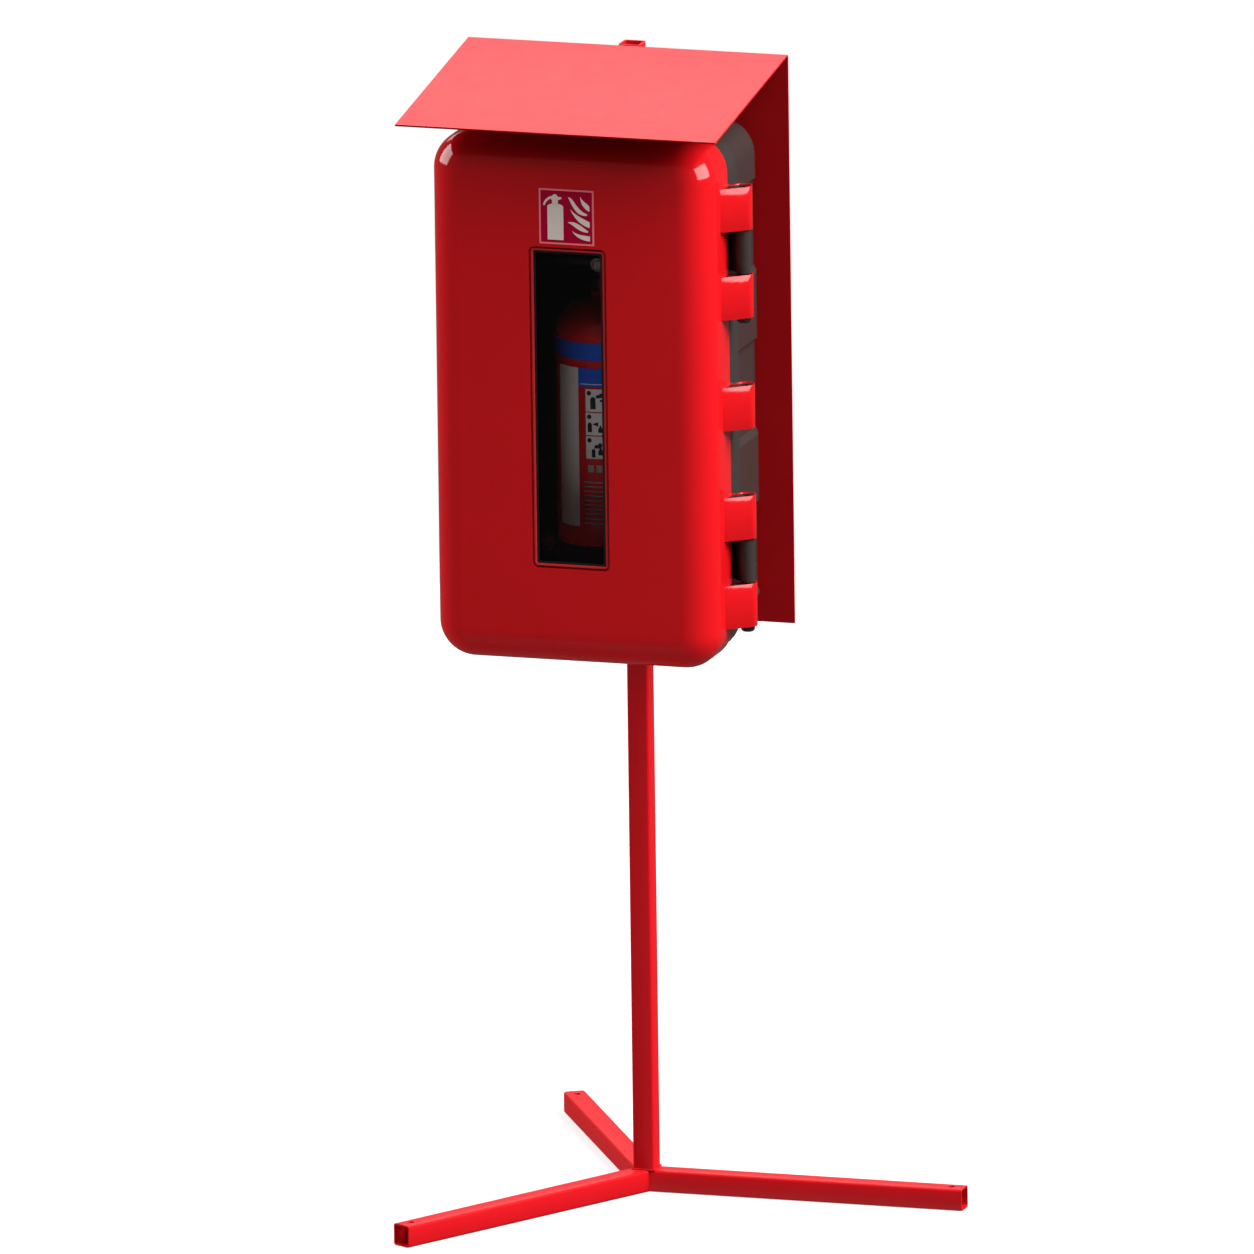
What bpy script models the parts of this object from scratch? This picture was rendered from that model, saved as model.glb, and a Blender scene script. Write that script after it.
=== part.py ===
"""Fire extinguisher cabinet with a viewing window, hung under a folded canopy on a three legged tube stand.

Axes: +X to the cabinet's hinge side, -Y to its front, +Z up. The origin is the centre of the whole
object's footprint box, on the ground. Everything stands off one empty on the post's centre line.
"""

import math

import bmesh
import bpy
from mathutils import Matrix, Vector

MM = 0.001

# Stand: square tube for the post and the three legs
TUBE_WIDTH = 25.0 * MM
TUBE_WALL = 2.0 * MM
TUBE_ROUND = 3.0 * MM
LEG_REACH = 370.75 * MM
LEG_HOLE_RADIUS = 4.0 * MM
LEG_HOLE_INSET = 15.0 * MM
LEG_ANGLES = {"leg_right": 0.0, "leg_rear_left": 120.0, "leg_front_left": 240.0}

# Folded sheet: back plate and canopy
SHEET_THICKNESS = 2.0 * MM
SHEET_WIDTH = 371.0 * MM
SHEET_BOTTOM_RISE = 8.0 * MM
RIDGE_RISE = 59.3 * MM
CANOPY_REACH = 273.0 * MM
CANOPY_DROP = 40.5 * MM
FOLD_RADIUS = 4.0 * MM

# Cabinet heights and the plane where door and base meet, measured forwards of the sheet
CABINET_BOTTOM = 655.0 * MM
CABINET_HEIGHT = 597.0 * MM
PARTING_FROM_SHEET = 159.2 * MM

# Door shell
DOOR_WIDTH = 327.0 * MM
DOOR_DEPTH = 75.0 * MM
DOOR_WALL = 3.0 * MM
DOOR_CORNER = 42.0 * MM
DOOR_EDGE_ROUND = 38.0 * MM

# Base shell: a rim band inside the door's outline, then a narrower tub with shallow side recesses
BASE_WALL = 3.5 * MM
RIM_INSET = 1.0 * MM
RIM_DEPTH = 36.0 * MM
RIM_WALL = 8.0 * MM
RIM_CORNER = 46.0 * MM
TUB_CORNER = 40.0 * MM
TUB_INSET = 12.5 * MM
TUB_EDGE_ROUND = 19.5 * MM
RECESS_DEPTH = 6.5 * MM
RECESS_RAMP = 6.0 * MM
PAD_HEIGHT = 86.8 * MM
PAD_CENTRE_RISE = 92.5 * MM
CORNER_ZONE_RISE = 231.0 * MM
RECESS_MIDDLE_RISE = 281.0 * MM

# Hinge down the right side: five door lugs, and a base knuckle in each of the two short gaps
PIN_RADIUS = 4.0 * MM
PIN_CHAMFER = 1.0 * MM
PIN_OUT = 17.2 * MM
PIN_BEHIND_PARTING = 1.0 * MM
LUG_RADIUS = 10.8 * MM
LUG_HEIGHT = 49.0 * MM
LUG_MIDDLE_RISE = 292.3 * MM
LUG_INNER_RISE = 125.6 * MM
LUG_OUTER_RISE = 225.6 * MM
LUG_ROOT_FORWARD = 27.7 * MM
LUG_WALL = 1.8 * MM
LUG_POCKET_DEPTH = 8.0 * MM
KNUCKLE_RADIUS = 8.4 * MM
KNUCKLE_ARM_FRONT = 12.0 * MM
KNUCKLE_ARM_REAR = 40.0 * MM
KNOB_RADIUS = 7.8 * MM
KNOB_HEIGHT = 6.0 * MM
KNOB_CHAMFER = 1.8 * MM

# Window in the door's front
WINDOW_WIDTH = 80.0 * MM
WINDOW_HEIGHT = 356.0 * MM
WINDOW_MIDDLE_RISE = 295.0 * MM
WINDOW_CORNER = 2.0 * MM
GASKET_WIDTH = 4.5 * MM
GASKET_SINK = 1.2 * MM
PANE_OVERLAP = 8.0 * MM
PANE_THICKNESS = 3.0 * MM

# Latch plates on the door's free side
LATCH_HEIGHT = 46.0 * MM
LATCH_THICKNESS = 4.0 * MM
LATCH_FORWARD = 30.0 * MM
LATCH_BACK = 34.0 * MM
LATCH_LIP = 8.0 * MM
LATCH_RISE = 175.6 * MM

# Rubber seal on the base's rim
SEAL_INSET = 5.4 * MM
SEAL_WIDTH = 2.8 * MM
SEAL_HEIGHT = 4.0 * MM

# Extinguisher
CYLINDER_RADIUS = 55.0 * MM
CYLINDER_AXIS_Y = -115.0 * MM
CYLINDER_TOP_RISE = 393.0 * MM
SHOULDER_HEIGHT = 38.0 * MM
SHOULDER_STEPS = 8
HEEL_ROUND = 7.0 * MM
NECK_RADIUS = 15.0 * MM
NECK_HEIGHT = 9.0 * MM
FOOT_RING_RADIUS = 56.5 * MM
FOOT_RING_HEIGHT = 26.0 * MM
FOOT_RING_LEDGE = 8.0 * MM
FOOT_RING_LEDGE_WIDTH = 13.75 * MM
VALVE_RADIUS = 14.0 * MM
VALVE_NECK_RADIUS = 11.0 * MM
VALVE_HEIGHT = 46.0 * MM
VALVE_COLLAR_HEIGHT = 14.0 * MM
VALVE_TAPER = 2.3 * MM
GAUGE_RADIUS = 7.6 * MM
GAUGE_DEPTH = 14.0 * MM
GAUGE_RISE = 32.0 * MM
GAUGE_LIP = 0.8 * MM
GAUGE_SINK = 1.2 * MM
GAUGE_STEM_RADIUS = 4.4 * MM
GAUGE_STEM_LENGTH = 4.9 * MM
HANDLE_LENGTH = 96.0 * MM
HANDLE_WIDTH = 20.0 * MM
HANDLE_THICKNESS = 3.0 * MM
HANDLE_DROP = 9.0 * MM
LEVER_FLAT = 12.0 * MM
LEVER_LIFT_DEG = 9.0
LEVER_RISE = 17.0 * MM
SAFETY_PIN_RADIUS = 1.5 * MM
SAFETY_PIN_OUT = 34.0 * MM
RING_RADIUS = 13.0 * MM
RING_SWEEP_DEG = 330.0
RING_TURNS = 16
NOZZLE_LENGTH = 62.0 * MM
NOZZLE_ROOT_RADIUS = 7.0 * MM
NOZZLE_MOUTH_RADIUS = 12.0 * MM
NOZZLE_BORE = 8.0 * MM
NOZZLE_LIP = 2.0 * MM
NOZZLE_SHANK = 18.6 * MM
NOZZLE_THROAT = 24.8 * MM

# What holds the extinguisher
SADDLE_WIDTH = 132.0 * MM
SADDLE_HEIGHT = 22.0 * MM
SADDLE_POCKET = 7.0 * MM
CRADLE_WIDTH = 76.0 * MM
CRADLE_HEIGHT = 34.0 * MM
CRADLE_WRAP = 16.5 * MM
CRADLE_RISE = 262.0 * MM
STRAP_RISE = 62.0 * MM
STRAP_HEIGHT = 24.0 * MM
STRAP_THICKNESS = 3.0 * MM

# Clearances
SEAT_GAP = 0.3 * MM
PIN_RUNNING_GAP = 0.5 * MM
KNUCKLE_GAP = 1.0 * MM
CUT_OVER = 2.0 * MM

SHARP_DEG = 35.0
ROUND_STEPS = 32
FITTING_STEPS = 24
SOCKET_STEPS = 20
LUG_STEPS = 16
BORE_STEPS = 16
CORNER_STEPS = 8
EDGE_STEPS = 7

# Places worked out from the sizes above, in the post's own axes
POST_FRONT_Y = -TUBE_WIDTH / 2
SHEET_REAR_Y = POST_FRONT_Y - SEAT_GAP
SHEET_FRONT_Y = SHEET_REAR_Y - SHEET_THICKNESS
BASE_REAR_Y = SHEET_FRONT_Y - SEAT_GAP
DOOR_REAR_Y = SHEET_FRONT_Y - PARTING_FROM_SHEET
BASE_FRONT_Y = DOOR_REAR_Y + SEAT_GAP
DOOR_FRONT_Y = DOOR_REAR_Y - DOOR_DEPTH
DOOR_HALF = DOOR_WIDTH / 2
CABINET_TOP = CABINET_BOTTOM + CABINET_HEIGHT
SHEET_BOTTOM = CABINET_BOTTOM + SHEET_BOTTOM_RISE
SHEET_RIDGE = CABINET_TOP + RIDGE_RISE
POST_TOP = SHEET_RIDGE + SEAT_GAP
LUG_MIDDLE = CABINET_BOTTOM + LUG_MIDDLE_RISE
RECESS_MIDDLE = CABINET_BOTTOM + RECESS_MIDDLE_RISE
WINDOW_MIDDLE = CABINET_BOTTOM + WINDOW_MIDDLE_RISE
CYLINDER_TOP = CABINET_BOTTOM + CYLINDER_TOP_RISE
RIM_HALF = DOOR_HALF - RIM_INSET
RIM_REAR_Y = BASE_FRONT_Y + RIM_DEPTH
TUB_HALF = DOOR_HALF - TUB_INSET
TUB_TOP = CABINET_TOP - TUB_INSET
TUB_BOTTOM = CABINET_BOTTOM + TUB_INSET
CAVITY_INSET = TUB_INSET + RECESS_DEPTH + BASE_WALL
CAVITY_REAR_Y = BASE_REAR_Y - BASE_WALL
PIN_X = DOOR_HALF + PIN_OUT
PIN_Y = DOOR_REAR_Y + PIN_BEHIND_PARTING
LUG_RISES = (-LUG_OUTER_RISE, -LUG_INNER_RISE, 0.0, LUG_INNER_RISE, LUG_OUTER_RISE)
KNUCKLE_MIDDLE_RISE = (LUG_INNER_RISE + LUG_OUTER_RISE) / 2
KNUCKLE_SLOT = LUG_OUTER_RISE - LUG_INNER_RISE - LUG_HEIGHT
CAVITY_FLOOR = CABINET_BOTTOM + CAVITY_INSET
SADDLE_BASE = CAVITY_FLOOR + SEAT_GAP
FOOT_BASE = SADDLE_BASE + SADDLE_HEIGHT - SADDLE_POCKET + SEAT_GAP
CYLINDER_BASE = FOOT_BASE + FOOT_RING_LEDGE + SEAT_GAP
VALVE_BASE = CYLINDER_TOP + NECK_HEIGHT + SEAT_GAP
VALVE_TOP = VALVE_BASE + VALVE_HEIGHT
HANDLE_Z = VALVE_TOP + SEAT_GAP
LEVER_Z = HANDLE_Z + LEVER_RISE


def clear_scene():
    """Take away every object, so that only this model is in the scene."""
    for obj in list(bpy.data.objects):
        bpy.data.objects.remove(obj, do_unlink=True)


def make_collection(name):
    """A new collection under the scene's own."""
    collection = bpy.data.collections.new(name)
    bpy.context.scene.collection.children.link(collection)
    return collection


def make_material(name, colour, roughness, metallic=0.0):
    """A Principled material of one colour."""
    material = bpy.data.materials.new(name)
    material.use_nodes = True
    shader = material.node_tree.nodes["Principled BSDF"]
    shader.inputs["Base Color"].default_value = (*colour, 1.0)
    shader.inputs["Roughness"].default_value = roughness
    shader.inputs["Metallic"].default_value = metallic
    material.diffuse_color = (*colour, 1.0)
    return material


class Workshop:
    """Where finished parts and cutters are put, and the empty that they stand off."""

    def __init__(self):
        self.parts = make_collection("fire_extinguisher_cabinet")
        self.helpers = make_collection("cutters")
        self.axis = bpy.data.objects.new("post_axis", None)
        self.parts.objects.link(self.axis)
        leg_back = LEG_REACH * math.cos(math.radians(60.0)) + TUBE_WIDTH / 2 * math.sin(math.radians(60.0))
        self.axis.location.x = (leg_back - LEG_REACH) / 2
        self.hinge = bpy.data.objects.new("door_hinge_axis", None)
        self.parts.objects.link(self.hinge)
        self.hinge.parent = self.axis
        self.hinge.location = (PIN_X, PIN_Y, LUG_MIDDLE)

    def part(self, name, mesh, material):
        """Put a mesh in the parts collection as a named object with its material."""
        obj = bpy.data.objects.new(name, mesh)
        mesh.materials.clear()
        mesh.materials.append(material)
        self.parts.objects.link(obj)
        obj.parent = self.axis
        mesh.shade_smooth()
        mesh.set_sharp_from_angle(angle=math.radians(SHARP_DEG))
        return obj

    def door_part(self, name, mesh, material):
        """A part that swings with the door: its parent is the empty on the hinge line."""
        obj = self.part(name, mesh, material)
        obj.parent = self.hinge
        obj.matrix_parent_inverse = Matrix.Translation(self.hinge.location).inverted()
        return obj

    def helper(self, name, mesh):
        """Put a mesh in the helpers collection, drawn as wire and left out of renders."""
        obj = bpy.data.objects.new(name, mesh)
        self.helpers.objects.link(obj)
        obj.parent = self.axis
        obj.hide_render = True
        obj.display_type = "WIRE"
        return obj


def mesh_from(bm, name):
    """Turn a bmesh into a mesh with its faces pointing outwards."""
    bmesh.ops.recalc_face_normals(bm, faces=bm.faces)
    mesh = bpy.data.meshes.new(name)
    bm.to_mesh(mesh)
    bm.free()
    return mesh


def box_mesh(name, low, high):
    """A box between two corners."""
    low = Vector(low)
    high = Vector(high)
    bm = bmesh.new()
    bmesh.ops.create_cube(bm, size=1.0)
    bmesh.ops.scale(bm, vec=high - low, verts=bm.verts)
    bmesh.ops.translate(bm, vec=(low + high) / 2, verts=bm.verts)
    return mesh_from(bm, name)


def pillow_mesh(name, half_width, bottom, top, front, rear, corner, edge_round, rounded_y):
    """A box whose four edges along Y are rounded, and then the rim of its face at rounded_y."""
    bm = bmesh.new()
    bmesh.ops.create_cube(bm, size=1.0)
    bmesh.ops.scale(bm, vec=(2 * half_width, rear - front, top - bottom), verts=bm.verts)
    bmesh.ops.translate(bm, vec=(0, (front + rear) / 2, (top + bottom) / 2), verts=bm.verts)
    along_y = [e for e in bm.edges if abs(e.verts[0].co.y - e.verts[1].co.y) > (rear - front) / 2]
    shape = {"profile": 0.5, "affect": "EDGES", "clamp_overlap": False}
    bmesh.ops.bevel(bm, geom=along_y, offset=corner, segments=CORNER_STEPS, **shape)
    if edge_round > 0:
        near = 1e-6
        rim = [e for e in bm.edges if all(abs(v.co.y - rounded_y) < near for v in e.verts)]
        bmesh.ops.bevel(bm, geom=rim, offset=edge_round, segments=EDGE_STEPS, **shape)
    return mesh_from(bm, name)


def prism_mesh(name, outline, bottom, top):
    """A flat outline in X and Y, filled and raised from bottom to top."""
    curve = bpy.data.curves.new(name, "CURVE")
    curve.dimensions = "2D"
    curve.fill_mode = "BOTH"
    curve.extrude = (top - bottom) / 2
    spline = curve.splines.new("POLY")
    spline.points.add(len(outline) - 1)
    for point, (x, y) in zip(spline.points, outline):
        point.co = (x, y, 0.0, 1.0)
    spline.use_cyclic_u = True
    return mesh_of_curve(curve, Matrix.Translation((0, 0, (top + bottom) / 2)))


def mesh_of_curve(curve, place):
    """The closed mesh of a curve, moved to its place, with its loose caps welded."""
    obj = bpy.data.objects.new(curve.name, curve)
    bpy.context.scene.collection.objects.link(obj)
    bpy.context.view_layer.update()
    graph = bpy.context.evaluated_depsgraph_get()
    raw = bpy.data.meshes.new_from_object(obj.evaluated_get(graph))
    bm = bmesh.new()
    bm.from_mesh(raw)
    bmesh.ops.remove_doubles(bm, verts=bm.verts, dist=1e-6)
    bmesh.ops.transform(bm, matrix=place, verts=bm.verts)
    name = curve.name
    bpy.data.objects.remove(obj, do_unlink=True)
    bpy.data.curves.remove(curve)
    bpy.data.meshes.remove(raw)
    return mesh_from(bm, name)


def rod_mesh(name, radius, start, end, steps=ROUND_STEPS, end_radius=None):
    """A round rod, or a cone, from one point to another."""
    start = Vector(start)
    end = Vector(end)
    run = end - start
    bm = bmesh.new()
    bmesh.ops.create_cone(
        bm,
        cap_ends=True,
        segments=steps,
        radius1=radius,
        radius2=radius if end_radius is None else end_radius,
        depth=run.length,
    )
    turn = Vector((0, 0, 1)).rotation_difference(run.normalized()).to_matrix().to_4x4()
    bmesh.ops.transform(bm, matrix=Matrix.Translation((start + end) / 2) @ turn, verts=bm.verts)
    return mesh_from(bm, name)


def turned_object(shop, name, profile, material, place, steps=ROUND_STEPS):
    """A profile of (radius, height) points, top to bottom, turned about Z by a Screw modifier."""
    bm = bmesh.new()
    points = [bm.verts.new((radius, 0, height)) for radius, height in profile]
    for first, second in zip(points, points[1:]):
        bm.edges.new((first, second))
    mesh = bpy.data.meshes.new(name)
    bm.to_mesh(mesh)
    bm.free()
    obj = shop.part(name, mesh, material)
    obj.matrix_local = place
    screw = obj.modifiers.new("turn", "SCREW")
    screw.steps = steps
    screw.render_steps = steps
    screw.use_merge_vertices = True
    screw.merge_threshold = 1e-5
    screw.use_smooth_shade = True
    return obj


def arc(centre, radius, start_deg, end_deg, steps):
    """Points on a circle, both ends included."""
    points = []
    for step in range(steps + 1):
        angle = math.radians(start_deg + (end_deg - start_deg) * step / steps)
        points.append((centre[0] + radius * math.cos(angle), centre[1] + radius * math.sin(angle)))
    return points


def rounded_rectangle(half_x, half_y, radius, steps=5):
    """The outline of a rectangle about the origin, with round corners."""
    points = []
    for quarter, (sx, sy) in enumerate(((1, 1), (-1, 1), (-1, -1), (1, -1))):
        centre = (sx * (half_x - radius), sy * (half_y - radius))
        points += arc(centre, radius, 90 * quarter, 90 * quarter + 90, steps)
    return points


def boolean(obj, cutter, operation="DIFFERENCE"):
    """Cut or join one object with another by an exact Boolean."""
    modifier = obj.modifiers.new(cutter.name, "BOOLEAN")
    modifier.operation = operation
    modifier.solver = "EXACT"
    modifier.object = cutter


def solidify(obj, thickness):
    """Give an open surface its wall, behind its faces."""
    modifier = obj.modifiers.new("wall", "SOLIDIFY")
    modifier.thickness = thickness
    modifier.offset = -1.0
    modifier.use_even_offset = True


# Stand


def tube_ring():
    """The outline of the square tube, with a point in the middle of each side."""
    ring = []
    half = TUBE_WIDTH / 2
    for quarter in range(4):
        turn = Matrix.Rotation(math.radians(90.0 * quarter), 2)
        corner = arc((half - TUBE_ROUND, half - TUBE_ROUND), TUBE_ROUND, 0, 90, 3)
        ring += [turn @ Vector(point) for point in [(half, 0.0)] + corner]
    return ring


def tube_mesh(name, low_ends, high_end):
    """An open square tube along Z, whose lower rim follows low_ends(point) and whose upper rim is flat."""
    bm = bmesh.new()
    ring = tube_ring()
    low = [bm.verts.new((x, y, low_ends(x, y))) for x, y in ring]
    high = [bm.verts.new((x, y, high_end)) for x, y in ring]
    count = len(ring)
    for index in range(count):
        after = (index + 1) % count
        bm.faces.new((low[index], low[after], high[after], high[index]))
    mesh = bpy.data.meshes.new(name)
    bm.to_mesh(mesh)
    bm.free()
    return mesh


def build_post(shop, paint):
    """The upright, standing on the legs' mitred joint, open at its top."""
    foot = TUBE_WIDTH + SEAT_GAP
    post = shop.part("post", tube_mesh("post", lambda x, y: foot, POST_TOP), paint)
    solidify(post, TUBE_WALL)


def build_legs(shop, paint):
    """Three legs at 120 degrees, mitred to each other, each with a small hole near its open end."""
    slope = 1.0 / math.tan(math.radians(60.0))
    setback = SEAT_GAP / 2 / math.sin(math.radians(60.0))
    for name, heading in LEG_ANGLES.items():
        # The tube is drawn along Z with its X side down, so the mitre runs with the tube's Y.
        mesh = tube_mesh(name, lambda x, y: setback + abs(y) * slope, LEG_REACH)
        leg = shop.part(name, mesh, paint)
        leg.matrix_local = (
            Matrix.Rotation(math.radians(heading), 4, "Z")
            @ Matrix.Translation((0, 0, TUBE_WIDTH / 2))
            @ Matrix.Rotation(math.radians(90.0), 4, "Y")
        )
        solidify(leg, TUBE_WALL)
        out = LEG_REACH - LEG_HOLE_INSET
        start = (out, 0, TUBE_WIDTH / 2)
        drill = rod_mesh(name + "_drill", LEG_HOLE_RADIUS, start, (out, 0, TUBE_WIDTH + CUT_OVER), BORE_STEPS)
        cutter = shop.helper(name + "_drill", drill)
        cutter.matrix_local = Matrix.Rotation(math.radians(heading), 4, "Z")
        boolean(leg, cutter)


def build_sheet(shop, paint):
    """Back plate and canopy, one folded sheet: its rear and top face, given their thickness inwards."""
    slope = math.atan2(CANOPY_DROP, CANOPY_REACH)
    fold = (SHEET_REAR_Y - FOLD_RADIUS, SHEET_RIDGE - FOLD_RADIUS)
    line = [(SHEET_REAR_Y, SHEET_BOTTOM)] + arc(fold, FOLD_RADIUS, 0.0, 90.0 + math.degrees(slope), 5)
    start_y, start_z = line[-1]
    front_y = SHEET_FRONT_Y - CANOPY_REACH
    line.append((front_y, start_z - (start_y - front_y) * math.tan(slope)))
    bm = bmesh.new()
    left = [bm.verts.new((-SHEET_WIDTH / 2, y, z)) for y, z in line]
    right = [bm.verts.new((SHEET_WIDTH / 2, y, z)) for y, z in line]
    for index in range(len(line) - 1):
        bm.faces.new((left[index], left[index + 1], right[index + 1], right[index]))
    mesh = bpy.data.meshes.new("back_plate_and_canopy")
    bm.to_mesh(mesh)
    bm.free()
    sheet = shop.part("back_plate_and_canopy", mesh, paint)
    solidify(sheet, SHEET_THICKNESS)


# Base shell


def recess_outline(bottom, top):
    """A recess seen along Y: X against Z, with sloping ends."""
    outer = TUB_HALF + CUT_OVER
    inner = TUB_HALF - RECESS_DEPTH
    flare = RECESS_RAMP * (outer - inner) / RECESS_DEPTH
    return [(inner, bottom), (outer, bottom - flare), (outer, top + flare), (inner, top)]


def side_prism(name, outline, front, rear, side):
    """An outline in X and Z on one side of the cabinet, run from front to rear along Y."""
    mesh = prism_mesh(name, outline, 0.0, rear - front)
    turn = Matrix(((side, 0, 0, 0), (0, 0, 1, front), (0, 1, 0, 0), (0, 0, 0, 1)))
    bm = bmesh.new()
    bm.from_mesh(mesh)
    bpy.data.meshes.remove(mesh)
    bmesh.ops.transform(bm, matrix=turn, verts=bm.verts)
    return mesh_from(bm, name)


def recess_spans():
    """The bottom and top of each side recess."""
    half_pad = PAD_HEIGHT / 2
    middle = PAD_CENTRE_RISE - half_pad
    outer_low = PAD_CENTRE_RISE + half_pad
    return [
        (RECESS_MIDDLE - middle, RECESS_MIDDLE + middle),
        (RECESS_MIDDLE + outer_low, RECESS_MIDDLE + CORNER_ZONE_RISE),
        (RECESS_MIDDLE - CORNER_ZONE_RISE, RECESS_MIDDLE - outer_low),
    ]


def knuckle_outline():
    """A base knuckle in plan: a round barrel on an arm from the rim band, swept back to clear the door."""
    root = RIM_HALF - BASE_WALL / 2
    barrel = arc((PIN_X, PIN_Y), KNUCKLE_RADIUS, -150, 60, 18)
    return barrel + [(root, PIN_Y + KNUCKLE_ARM_REAR), (root, PIN_Y + KNUCKLE_ARM_FRONT)]


def build_base(shop, plastic):
    """The grey tub: tub and rim band joined, recessed at its sides, hollowed, with two hinge knuckles."""
    tub = pillow_mesh(
        "base_shell",
        TUB_HALF,
        TUB_BOTTOM,
        TUB_TOP,
        BASE_FRONT_Y,
        BASE_REAR_Y,
        TUB_CORNER,
        TUB_EDGE_ROUND,
        BASE_REAR_Y,
    )
    base = shop.part("base_shell", tub, plastic)
    for side, label in ((1, "right"), (-1, "left")):
        for index, (bottom, top) in enumerate(recess_spans()):
            name = f"recess_{label}_{index}"
            outline = recess_outline(bottom, top)
            mesh = side_prism(name, outline, BASE_FRONT_Y - CUT_OVER, BASE_REAR_Y + CUT_OVER, side)
            boolean(base, shop.helper(name, mesh))
    rim_low = CABINET_BOTTOM + RIM_INSET
    rim_high = CABINET_TOP - RIM_INSET
    rim = shop.helper(
        "rim_band",
        pillow_mesh(
            "rim_band", RIM_HALF, rim_low, rim_high, BASE_FRONT_Y, RIM_REAR_Y, RIM_CORNER, 0, 0
        ),
    )
    boolean(base, rim, "UNION")
    for index, side in enumerate((-1, 1)):
        name = f"knuckle_{index}"
        middle = LUG_MIDDLE + side * KNUCKLE_MIDDLE_RISE
        half = KNUCKLE_SLOT / 2 - KNUCKLE_GAP
        knuckle = prism_mesh(name, knuckle_outline(), middle - half, middle + half)
        boolean(base, shop.helper(name, knuckle), "UNION")
    cavity = pillow_mesh(
        "base_cavity",
        DOOR_HALF - CAVITY_INSET,
        CABINET_BOTTOM + CAVITY_INSET,
        CABINET_TOP - CAVITY_INSET,
        BASE_FRONT_Y - CUT_OVER,
        CAVITY_REAR_Y,
        TUB_CORNER - RECESS_DEPTH - BASE_WALL,
        TUB_EDGE_ROUND - BASE_WALL,
        CAVITY_REAR_Y,
    )
    boolean(base, shop.helper("base_cavity", cavity))
    mouth_inset = RIM_INSET + RIM_WALL
    mouth = pillow_mesh(
        "rim_mouth",
        DOOR_HALF - mouth_inset,
        CABINET_BOTTOM + mouth_inset,
        CABINET_TOP - mouth_inset,
        BASE_FRONT_Y - CUT_OVER,
        RIM_REAR_Y - BASE_WALL,
        RIM_CORNER - RIM_WALL,
        0,
        0,
    )
    boolean(base, shop.helper("rim_mouth", mouth))
    cut_pad_pockets(shop, base)
    bore = rod_mesh(
        "knuckle_bore",
        PIN_RADIUS + SEAT_GAP,
        (PIN_X, PIN_Y, CABINET_BOTTOM - CUT_OVER),
        (PIN_X, PIN_Y, CABINET_TOP + CUT_OVER),
        BORE_STEPS,
    )
    boolean(base, shop.helper("knuckle_bore", bore))


def cut_pad_pockets(shop, base):
    """Hollow the raised pads from inside, so that the wall keeps its thickness behind them."""
    half = PAD_HEIGHT / 2 - RECESS_RAMP - BASE_WALL
    cavity_half = DOOR_HALF - CAVITY_INSET
    for side in (-1, 1):
        for row in (-1, 1):
            name = f"pad_pocket_{side + 1}_{row + 1}"
            middle = RECESS_MIDDLE + row * PAD_CENTRE_RISE
            near = side * (cavity_half - CUT_OVER)
            far = side * (TUB_HALF - BASE_WALL)
            low = (min(near, far), RIM_REAR_Y, middle - half)
            high = (max(near, far), BASE_REAR_Y - TUB_EDGE_ROUND, middle + half)
            boolean(base, shop.helper(name, box_mesh(name, low, high)))


def build_seal(shop, rubber):
    """A rubber strip that stands on the base's rim, inside the door's edge."""
    half = DOOR_HALF - SEAL_INSET
    tall = CABINET_HEIGHT / 2 - SEAL_INSET
    middle = CABINET_BOTTOM + CABINET_HEIGHT / 2
    ring = rounded_rectangle(half, tall, DOOR_CORNER - SEAL_INSET, CORNER_STEPS)
    bm = bmesh.new()
    front = BASE_FRONT_Y - SEAT_GAP - SEAL_HEIGHT
    rear = BASE_FRONT_Y - SEAT_GAP
    near = [bm.verts.new((x, front, middle + z)) for x, z in ring]
    far = [bm.verts.new((x, rear, middle + z)) for x, z in ring]
    count = len(ring)
    for index in range(count):
        after = (index + 1) % count
        bm.faces.new((near[index], near[after], far[after], far[index]))
    seal = shop.part("base_seal", mesh_from(bm, "base_seal"), rubber)
    solidify(seal, SEAL_WIDTH)


# Door


def lug_outline():
    """A door lug in plan: it grows out of the door's side, tangent to the barrel round the pin."""
    root = Vector((DOOR_HALF, DOOR_REAR_Y - LUG_ROOT_FORWARD))
    lean = lug_lean()
    barrel = arc(Vector((PIN_X, PIN_Y)), LUG_RADIUS, lean - 90.0, 180.0, LUG_STEPS)
    inner = DOOR_HALF - DOOR_WALL / 2
    return [tuple(root)] + barrel + [(inner, DOOR_REAR_Y), (inner, root.y)]


def lug_lean():
    """The angle in degrees at which a lug's front face leaves the door's side."""
    reach = Vector((PIN_X, PIN_Y)) - Vector((DOOR_HALF, DOOR_REAR_Y - LUG_ROOT_FORWARD))
    return math.degrees(math.atan2(reach.y, reach.x) - math.asin(LUG_RADIUS / reach.length))


def pocket_outline():
    """The hollow in a lug's top in plan: the lug's own outline, one wall further in."""
    lean = lug_lean()
    barrel = arc(Vector((PIN_X, PIN_Y)), LUG_RADIUS - LUG_WALL, lean - 90.0, 180.0, LUG_STEPS)
    near = DOOR_HALF + LUG_WALL / 2
    touch = barrel[0]
    start = touch[1] - (touch[0] - near) * math.tan(math.radians(lean))
    return [(near, start)] + barrel + [(near, DOOR_REAR_Y - LUG_WALL)]


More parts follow.
